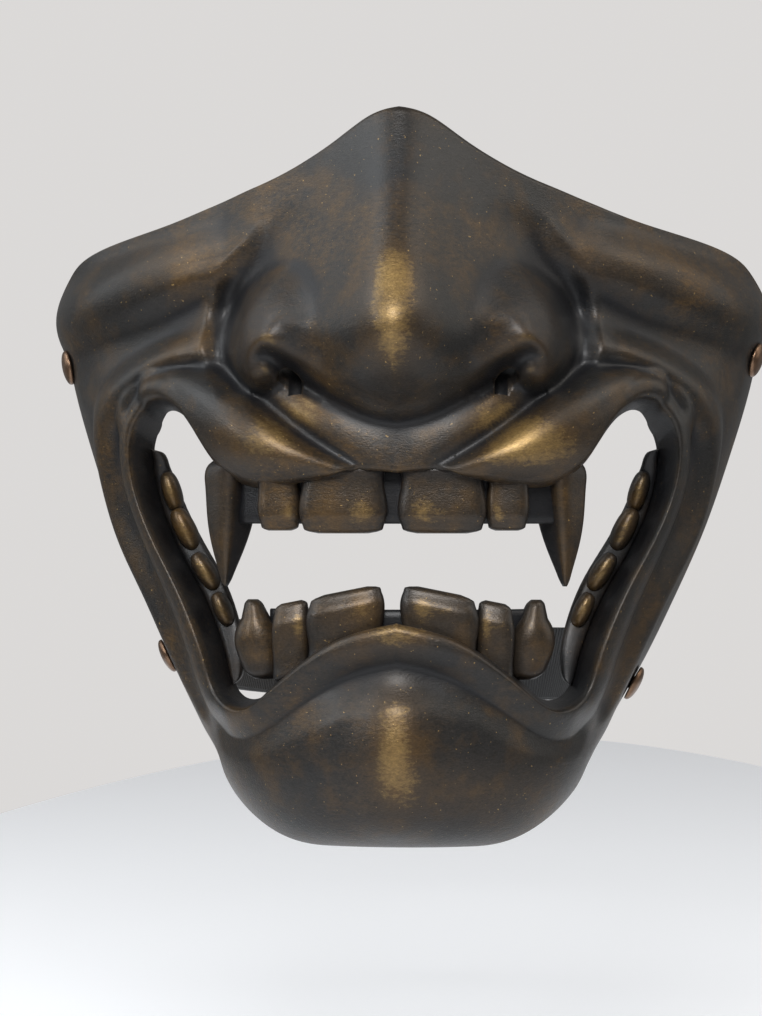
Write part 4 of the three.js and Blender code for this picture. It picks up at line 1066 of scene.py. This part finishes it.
# The brush: noises as scale, detail and roughness, ramps from nothing to all, and sums of weighted fields.
brushLook = {
    "stretch": (0.5, 0.5, 1.0),
    "noises": {
        "clouds": (28.0, 3.0, 0.6),
        "patches": (90.0, 5.0, 0.65),
        "dots": (1500.0, 1.0, 0.4),
    },
    "brushedNoises": {
        "brushed": (1100.0, 5.0, 0.75),
        "grain": (3400.0, 2.0, 0.6),
    },
    "ramps": {
        "cloudy": ("clouds", 0.42, 0.68),
        "patchy": ("patches", 0.45, 0.7),
        "broken": ("brushed", 0.3, 0.7),
        "rubbedAndHighlit": ("rubandhighlight", 0.02, 0.3),
        "specks": ("dots", 0.73, 0.80),
    },
    "brown": {"cloudy": 0.55, "patchy": 0.45, "rubandhighlight": 1.1},
    "gold": {"base": 0.24, "rubandhighlight": 1.725, "brushed": -1.125, "patches": -0.45},
    "speckGold": 0.45,
    "washandshade": {"base": 0.62, "patches": 0.7},
    "mostWashAndShade": 0.94,
    "streak": {"grain": 1.1, "brushed": 0.9},
    "Roughness": {"base": -0.08, "roughness": 1.0, "grain": 0.16, "patches": 0.10, "washedAndShaded": 0.10},
    "Metallic": {"base": 0.4, "gold": 0.45, "washedAndShaded": -0.3},
    "Height": {"grain": 0.4, "brushed": 0.6},
}


def newGroup(name, inputs, outputs, tree="ShaderNodeTree"):
    group = bpy.data.node_groups.new(name, tree)
    for label, kind, value in inputs:
        socket = group.interface.new_socket(name=label, in_out="INPUT", socket_type=kind)
        if value is not None:
            socket.default_value = value
    for label, kind in outputs:
        group.interface.new_socket(name=label, in_out="OUTPUT", socket_type=kind)
    start = group.nodes.new("NodeGroupInput")
    end = group.nodes.new("NodeGroupOutput")
    return group, start, end


def fill(tree, node, inputs):
    # each input takes a value, or a link from another node's output
    for key, value in inputs.items():
        if isinstance(value, bpy.types.NodeSocket):
            tree.links.new(value, node.inputs[key])
        else:
            node.inputs[key].default_value = value


def addNode(tree, kind, inputs=None, **settings):
    node = tree.nodes.new(kind)
    for key, value in settings.items():
        setattr(node, key, value)
    fill(tree, node, inputs or {})
    return node


def mathNode(tree, operation, *values, clamp=False):
    node = addNode(tree, "ShaderNodeMath", dict(enumerate(values)), operation=operation, use_clamp=clamp)
    return node.outputs[0]


def mixNode(tree, factor, a, b):
    return addNode(tree, "ShaderNodeMix", {"Factor": factor, 6: a, 7: b}, data_type="RGBA").outputs[2]


def noiseNode(tree, place, scale, detail, roughness):
    inputs = {"Vector": place, "Scale": scale, "Detail": detail, "Roughness": roughness}
    return addNode(tree, "ShaderNodeTexNoise", inputs).outputs[0]


def rampNode(tree, value, low, high):
    inputs = {"Value": value, "From Min": low, "From Max": high}
    return addNode(tree, "ShaderNodeMapRange", inputs, interpolation_type="SMOOTHSTEP").outputs[0]


def dryBrushAndShadingGroup():
    # a dark metal paint, worn to gold where it stands out and with painted highlights, and darkened where it
    # lies deep by a dark wash and painted shade
    coats = ("dark", "body", "brown", "gold")
    group, start, end = newGroup("dryBrushAndShading", [
        ("RubAndHighlight", "NodeSocketFloat", 0.0),
        ("WashAndShade", "NodeSocketFloat", 0.0),
        *[(coat.title(), "NodeSocketColor", paintLook[coat]) for coat in coats],
        ("Roughness", "NodeSocketFloat", paintLook["roughness"]),
    ], [
        ("Color", "NodeSocketColor"),
        *[(name, "NodeSocketFloat") for name in ("Roughness", "Metallic", "Height")],
    ])
    given = start.outputs
    fields = {"rubandhighlight": given["RubAndHighlight"], "roughness": given["Roughness"]}

    def sumOf(name, clamp=False):
        weights = dict(brushLook[name])
        total = weights.pop("base", 0.0)
        for index, (field, weight) in enumerate(weights.items(), 1):
            last = clamp and index == len(weights)
            total = mathNode(group, "MULTIPLY_ADD", fields[field], weight, total, clamp=last)
        return total

    place = addNode(group, "ShaderNodeTexCoord").outputs["Object"]
    ways = {0: place, 1: brushLook["stretch"]}
    stretched = addNode(group, "ShaderNodeVectorMath", ways, operation="MULTIPLY")
    for kind, spot in (("noises", place), ("brushedNoises", stretched.outputs[0])):
        for name, settings in brushLook[kind].items():
            fields[name] = noiseNode(group, spot, *settings)
    for name, (field, low, high) in brushLook["ramps"].items():
        fields[name] = rampNode(group, fields[field], low, high)
    fields["cloudy"] = mathNode(group, "MULTIPLY", fields["cloudy"], fields["broken"])
    fields["gold"] = mathNode(group, "MULTIPLY", sumOf("gold", True), fields["rubbedAndHighlit"])
    washedAndShaded = mathNode(group, "MULTIPLY", given["WashAndShade"], sumOf("washandshade"), clamp=True)
    fields["washedAndShaded"] = mathNode(group, "MULTIPLY", washedAndShaded, brushLook["mostWashAndShade"])
    specks = mathNode(group, "MULTIPLY", fields["specks"], brushLook["speckGold"])
    colour = mixNode(group, sumOf("brown", True), given["Body"], given["Brown"])
    # gold where the paint is rubbed, and also where a highlight is painted
    colour = mixNode(group, fields["gold"], colour, given["Gold"])
    colour = mixNode(group, specks, colour, given["Gold"])
    # the dark colour: a dark wash and painted shade
    colour = mixNode(group, fields["washedAndShaded"], colour, given["Dark"])
    streaky = addNode(group, "ShaderNodeVectorMath", {0: colour, "Scale": sumOf("streak")}, operation="SCALE")
    fill(group, end, {
        "Color": streaky.outputs[0],
        "Roughness": sumOf("Roughness", True),
        "Metallic": sumOf("Metallic", True),
        "Height": sumOf("Height"),
    })
    return group


dryBrushAndShading = dryBrushAndShadingGroup()


def principled(name, inputs):
    material = bpy.data.materials.new(name)
    material.use_nodes = True
    tree = material.node_tree
    shader = tree.nodes["Principled BSDF"]
    fill(tree, shader, inputs)
    return material, tree, shader


def addBump(tree, shader, height, strength, distance):
    inputs = {"Strength": strength, "Distance": distance, "Height": height}
    fill(tree, shader, {"Normal": addNode(tree, "ShaderNodeBump", inputs).outputs["Normal"]})


def paintMaterial(name, roughness, bumpDistance):
    material, tree, shader = principled(name, {
        "Specular IOR Level": paintLook["specular"],
        "Coat Weight": paintLook["coat"],
        "Coat Roughness": paintLook["coatRoughness"],
    })
    given = {"Roughness": roughness}
    for label in ("RubAndHighlight", "WashAndShade"):
        given[label] = addNode(tree, "ShaderNodeAttribute", attribute_name=label.lower()).outputs["Fac"]
    brush = addNode(tree, "ShaderNodeGroup", given, node_tree=dryBrushAndShading).outputs
    fill(tree, shader, {
        "Base Color": brush["Color"],
        "Roughness": brush["Roughness"],
        "Metallic": brush["Metallic"],
    })
    addBump(tree, shader, brush["Height"], paintLook["bump"], bumpDistance)
    return material


bronze = paintMaterial("bronzePaint", paintLook["roughness"], paintLook["bumpDistance"])
toothPaint = paintMaterial("toothPaint", paintLook["toothRoughness"], paintLook["toothBumpDistance"])

# Copper of the rivets and black threads of the straps, each a noise between two colours.
rivetPaint = {
    "low": (0.05, 0.03, 0.02, 1),
    "high": (0.26, 0.16, 0.10, 1),
    "noise": (600.0, 4.0, 0.5),
    "sockets": {"Metallic": 0.9, "Roughness": 0.34},
    "bump": None,
}
strapPaint = {
    "low": (0.003, 0.003, 0.003, 1),
    "high": (0.011, 0.011, 0.012, 1),
    "noise": (2200.0, 2.0, 0.6),
    "sockets": {"Roughness": 0.75, "Sheen Weight": 0.1},
    "bump": (0.5, 0.0001),
}


def mottledMaterial(name, look):
    material, tree, shader = principled(name, look["sockets"])
    place = addNode(tree, "ShaderNodeTexCoord").outputs["Object"]
    noise = noiseNode(tree, place, *look["noise"])
    fill(tree, shader, {"Base Color": mixNode(tree, noise, look["low"], look["high"])})
    if look["bump"]:
        addBump(tree, shader, noise, *look["bump"])
    return material


copper = mottledMaterial("copperRivet", rivetPaint)
webbing = mottledMaterial("blackWebbing", strapPaint)


def ribbedBandGroup():
    # a rib across the band at each step of a path, with the band's own material
    group, start, end = newGroup("ribbedBand", [
        ("Geometry", "NodeSocketGeometry", None),
        ("Path", "NodeSocketObject", None),
        ("Pitch", "NodeSocketFloat", 0.0015),
        ("Rib Width", "NodeSocketFloat", 0.0007),
        ("Rib Height", "NodeSocketFloat", 0.0002),
        ("Rib Reach", "NodeSocketFloat", 0.0095),
        ("Unevenness", "NodeSocketFloat", 0.12),
        ("Seed", "NodeSocketInt", 5),
        ("Material", "NodeSocketMaterial", None),
    ], [("Geometry", "NodeSocketGeometry")], "GeometryNodeTree")
    given = start.outputs
    path = addNode(group, "GeometryNodeObjectInfo", {"Object": given["Path"]})
    curve = addNode(group, "GeometryNodeMeshToCurve", {0: path.outputs["Geometry"]})
    steps = {"Curve": curve.outputs[0], "Length": given["Pitch"]}
    stepped = addNode(group, "GeometryNodeResampleCurve", steps, mode="LENGTH")
    rib = addNode(group, "GeometryNodeMeshCylinder", {"Vertices": 10, "Radius": 1.0, "Depth": 2.0})
    turned = None
    for label, axis in (("wide", "Z"), ("thick", "X")):
        way = addNode(group, "GeometryNodeInputNamedAttribute", {"Name": label}, data_type="FLOAT_VECTOR")
        aim = {"Vector": way.outputs["Attribute"]}
        turn = addNode(group, "FunctionNodeAlignRotationToVector", aim, axis=axis)
        if turned:
            turn.pivot_axis = "Z"
            fill(group, turn, {"Rotation": turned})
        turned = turn.outputs[0]
    draw = {2: mathNode(group, "SUBTRACT", 1.0, given["Unevenness"]), 3: 1.0, "Seed": given["Seed"]}
    uneven = addNode(group, "FunctionNodeRandomValue", draw, data_type="FLOAT")
    size = addNode(group, "ShaderNodeCombineXYZ", {
        "X": mathNode(group, "MULTIPLY", given["Rib Height"], uneven.outputs[1]),
        "Y": given["Rib Width"],
        "Z": given["Rib Reach"],
    })
    placed = addNode(group, "GeometryNodeInstanceOnPoints", {
        "Points": stepped.outputs[0],
        "Instance": rib.outputs["Mesh"],
        "Rotation": turned,
        "Scale": size.outputs[0],
    })
    joined = addNode(group, "GeometryNodeJoinGeometry", {0: placed.outputs[0]})
    fill(group, joined, {0: given["Geometry"]})
    solid = addNode(group, "GeometryNodeRealizeInstances", {0: joined.outputs[0]})
    skin = {"Geometry": solid.outputs[0], "Material": given["Material"]}
    fill(group, end, {"Geometry": addNode(group, "GeometryNodeSetMaterial", skin).outputs[0]})
    return group


ribbedBand = ribbedBandGroup()


def addRibs(piece, path):
    line, wide, thick, length = path
    off = strapLook["thickness"] / 2 - strapLook["ribHeight"]
    ends = slice(strapLook["ribEnds"], -strapLook["ribEnds"])
    sides = [(line + thick * off * way)[ends] for way in (-1, 1)]
    count = len(sides[0])
    mesh = bpy.data.meshes.new("ribPath")
    edges = [(k + i, k + i + 1) for k in (0, count) for i in range(count - 1)]
    mesh.from_pydata(toFrame(np.concatenate(sides)).tolist(), edges, [])
    for label, ways in (("wide", wide), ("thick", thick)):
        layer = mesh.attributes.new(label, "FLOAT_VECTOR", "POINT")
        layer.data.foreach_set("vector", np.tile(ways[ends], (2, 1)).reshape(-1).astype(np.float32))
    guide = linked("ribPath", mesh)
    ribs = piece.modifiers.new("ribs", "NODES")
    ribs.node_group = ribbedBand
    chosen = {
        "Path": guide,
        "Pitch": strapLook["ribPitch"] / 1000,
        "Rib Width": strapLook["ribPitch"] * strapLook["ribShare"] / 1000,
        "Rib Height": strapLook["ribHeight"] / 1000,
        "Rib Reach": strapLook["width"] / 2 * strapLook["ribReach"] / 1000,
        "Material": webbing,
    }
    for item in ribbedBand.interface.items_tree:
        if item.in_out == "INPUT" and item.name in chosen:
            ribs[item.identifier] = chosen[item.name]
    piece.data.update_tag()
    settle(piece)
    piece.data.set_sharp_from_angle(angle=math.radians(strapLook["sharpTurn"]))
    bpy.data.objects.remove(guide)


addRibs(upperStrap, upperPath)
addRibs(lowerStrap, lowerPath)
print("stage: materials", len(upperStrap.data.polygons), len(lowerStrap.data.polygons))

dressed = [
    (maskShell, "mask_shell", bronze, "bronze_paint"),
    (upperRow, "upper_teeth", toothPaint, "tooth_paint"),
    (lowerRow, "lower_teeth", toothPaint, "tooth_paint"),
    (cheekLeft, "cheek_teeth_left", toothPaint, "tooth_paint"),
    (cheekRight, "cheek_teeth_right", toothPaint, "tooth_paint"),
    (upperStrap, "upper_strap", webbing, "black_webbing"),
    (lowerStrap, "lower_strap", webbing, "black_webbing"),
]
dressed += [(piece, seat["name"], copper, "copper_rivet") for piece, seat in zip(rivetPieces, seats)]
for piece, node, material, slot in dressed:
    piece.data.materials.append(material)
    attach(piece, "root")
    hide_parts(node)

# The room: a pale wall seen by the camera and darker ahead of the mask, and a bright table below it.
room = {
    "wall": (0.71, 0.695, 0.685, 1),
    "wallTint": (1.0, 0.985, 0.97, 1),
    "wallLight": 0.22,
    "frontDark": 0.02,
    "darkAcross": (0.62, 2.6),
    "darkAhead": (0.25, 2.0),
    "table": (0.6, 0.61, 0.63, 1),
    "tableRoughness": 0.5,
    "tableGlow": 0.6,
    "tableDrop": 0.23,
    "tableHalf": (0.30, 1.1),
    "tableBack": 0.107,
    "tableSides": 96,
}
# Area lights: place, width and height, power and colour.
cool = (0.93, 0.97, 1.0)
warm = (1.0, 0.95, 0.88)
lights = {
    "leftWindow": ((-0.75, 0.05, 0.35), (0.7, 0.9), 3.2, cool),
    "rightWindow": ((0.75, 0.05, 0.30), (0.7, 0.9), 2.6, warm),
    "ceilingLeft": ((-0.55, -0.2, 0.70), (0.4, 0.5), 3.0, cool),
    "ceilingRight": ((0.55, -0.2, 0.70), (0.4, 0.5), 2.2, warm),
    "leftLamp": ((-0.55, -0.45, 0.22), (0.16, 0.30), 2.0, cool),
    "frontLamp": ((-0.03, -0.68, 0.44), (0.30, 0.30), 8, (1, 1, 1)),
}


def tableTop():
    turn = np.linspace(0, 2 * math.pi, room["tableSides"] + 1)[:-1]
    across, ahead = room["tableHalf"]
    drop = np.full(len(turn), -room["tableDrop"])
    points = np.stack([across * np.cos(turn), room["tableBack"] + ahead * np.sin(turn), drop], -1)
    mesh = bpy.data.meshes.new("tableTop")
    mesh.from_pydata(points.tolist(), [], [list(range(len(turn)))])
    piece = linked("tableTop", mesh)
    mesh.materials.append(principled("tableWhite", {
        "Base Color": room["table"],
        "Roughness": room["tableRoughness"],
        "Emission Color": room["table"],
        "Emission Strength": room["tableGlow"],
    })[0])


tableTop()
aimPoint = toFrame([0, 0, 0])


def areaLight(name, place, size, power, colour):
    light = bpy.data.lights.new(name, "AREA")
    light.shape = "RECTANGLE"
    light.size, light.size_y = size
    light.energy = power
    light.color = colour
    lamp = linked(name, light)
    lamp.location = place
    lamp.rotation_euler = (Vector(aimPoint) - Vector(place)).to_track_quat("-Z", "Y").to_euler()


for name, settings in lights.items():
    areaLight(name, *settings)


def makeWorld():
    world = bpy.data.worlds.new("room")
    scene.world = world
    world.use_nodes = True
    tree = world.node_tree

    def fading(value, start, slope):
        left = mathNode(tree, "SUBTRACT", start, value, clamp=True)
        return mathNode(tree, "MULTIPLY", left, slope, clamp=True)

    place = addNode(tree, "ShaderNodeTexCoord").outputs["Generated"]
    parts = addNode(tree, "ShaderNodeSeparateXYZ", {0: place}).outputs
    middle = fading(mathNode(tree, "ABSOLUTE", parts["X"]), *room["darkAcross"])
    share = mathNode(tree, "MULTIPLY", middle, fading(parts["Y"], *room["darkAhead"]))
    dark = mathNode(tree, "MULTIPLY", share, room["wallLight"] - room["frontDark"])
    light = mathNode(tree, "SUBTRACT", room["wallLight"], dark)
    background = tree.nodes["Background"]
    fill(tree, background, {"Color": room["wallTint"], "Strength": light})
    seen = addNode(tree, "ShaderNodeBackground", {"Color": room["wall"], "Strength": 1.0})
    mix = addNode(tree, "ShaderNodeMixShader", {
        0: addNode(tree, "ShaderNodeLightPath").outputs["Is Camera Ray"],
        1: background.outputs[0],
        2: seen.outputs[0],
    })
    fill(tree, tree.nodes["World Output"], {"Surface": mix.outputs[0]})


makeWorld()
scene.view_settings.view_transform = "Standard"

# The photograph's camera: a long phone lens, a little to the right of the middle.
cameraLook = {
    "distance": 0.595,
    "turn": 2.6,
    "field": 23.2,
    "shift": -27 / 1016,
}


def makeCamera():
    data = bpy.data.cameras.new("photoCamera")
    data.sensor_width = 24
    data.lens = 12 / math.tan(math.radians(cameraLook["field"] / 2))
    data.shift_x = cameraLook["shift"]
    data.clip_start = 0.05
    data.clip_end = 20
    data.dof.use_dof = False
    camera = linked("photoCamera", data)
    scene.camera = camera
    turn = math.radians(cameraLook["turn"])
    away = Vector((math.sin(turn), -math.cos(turn), 0))
    camera.location = Vector(aimPoint) + away * cameraLook["distance"]
    camera.rotation_mode = "QUATERNION"
    camera.rotation_quaternion = (-away).to_track_quat("-Z", "Y")


makeCamera()
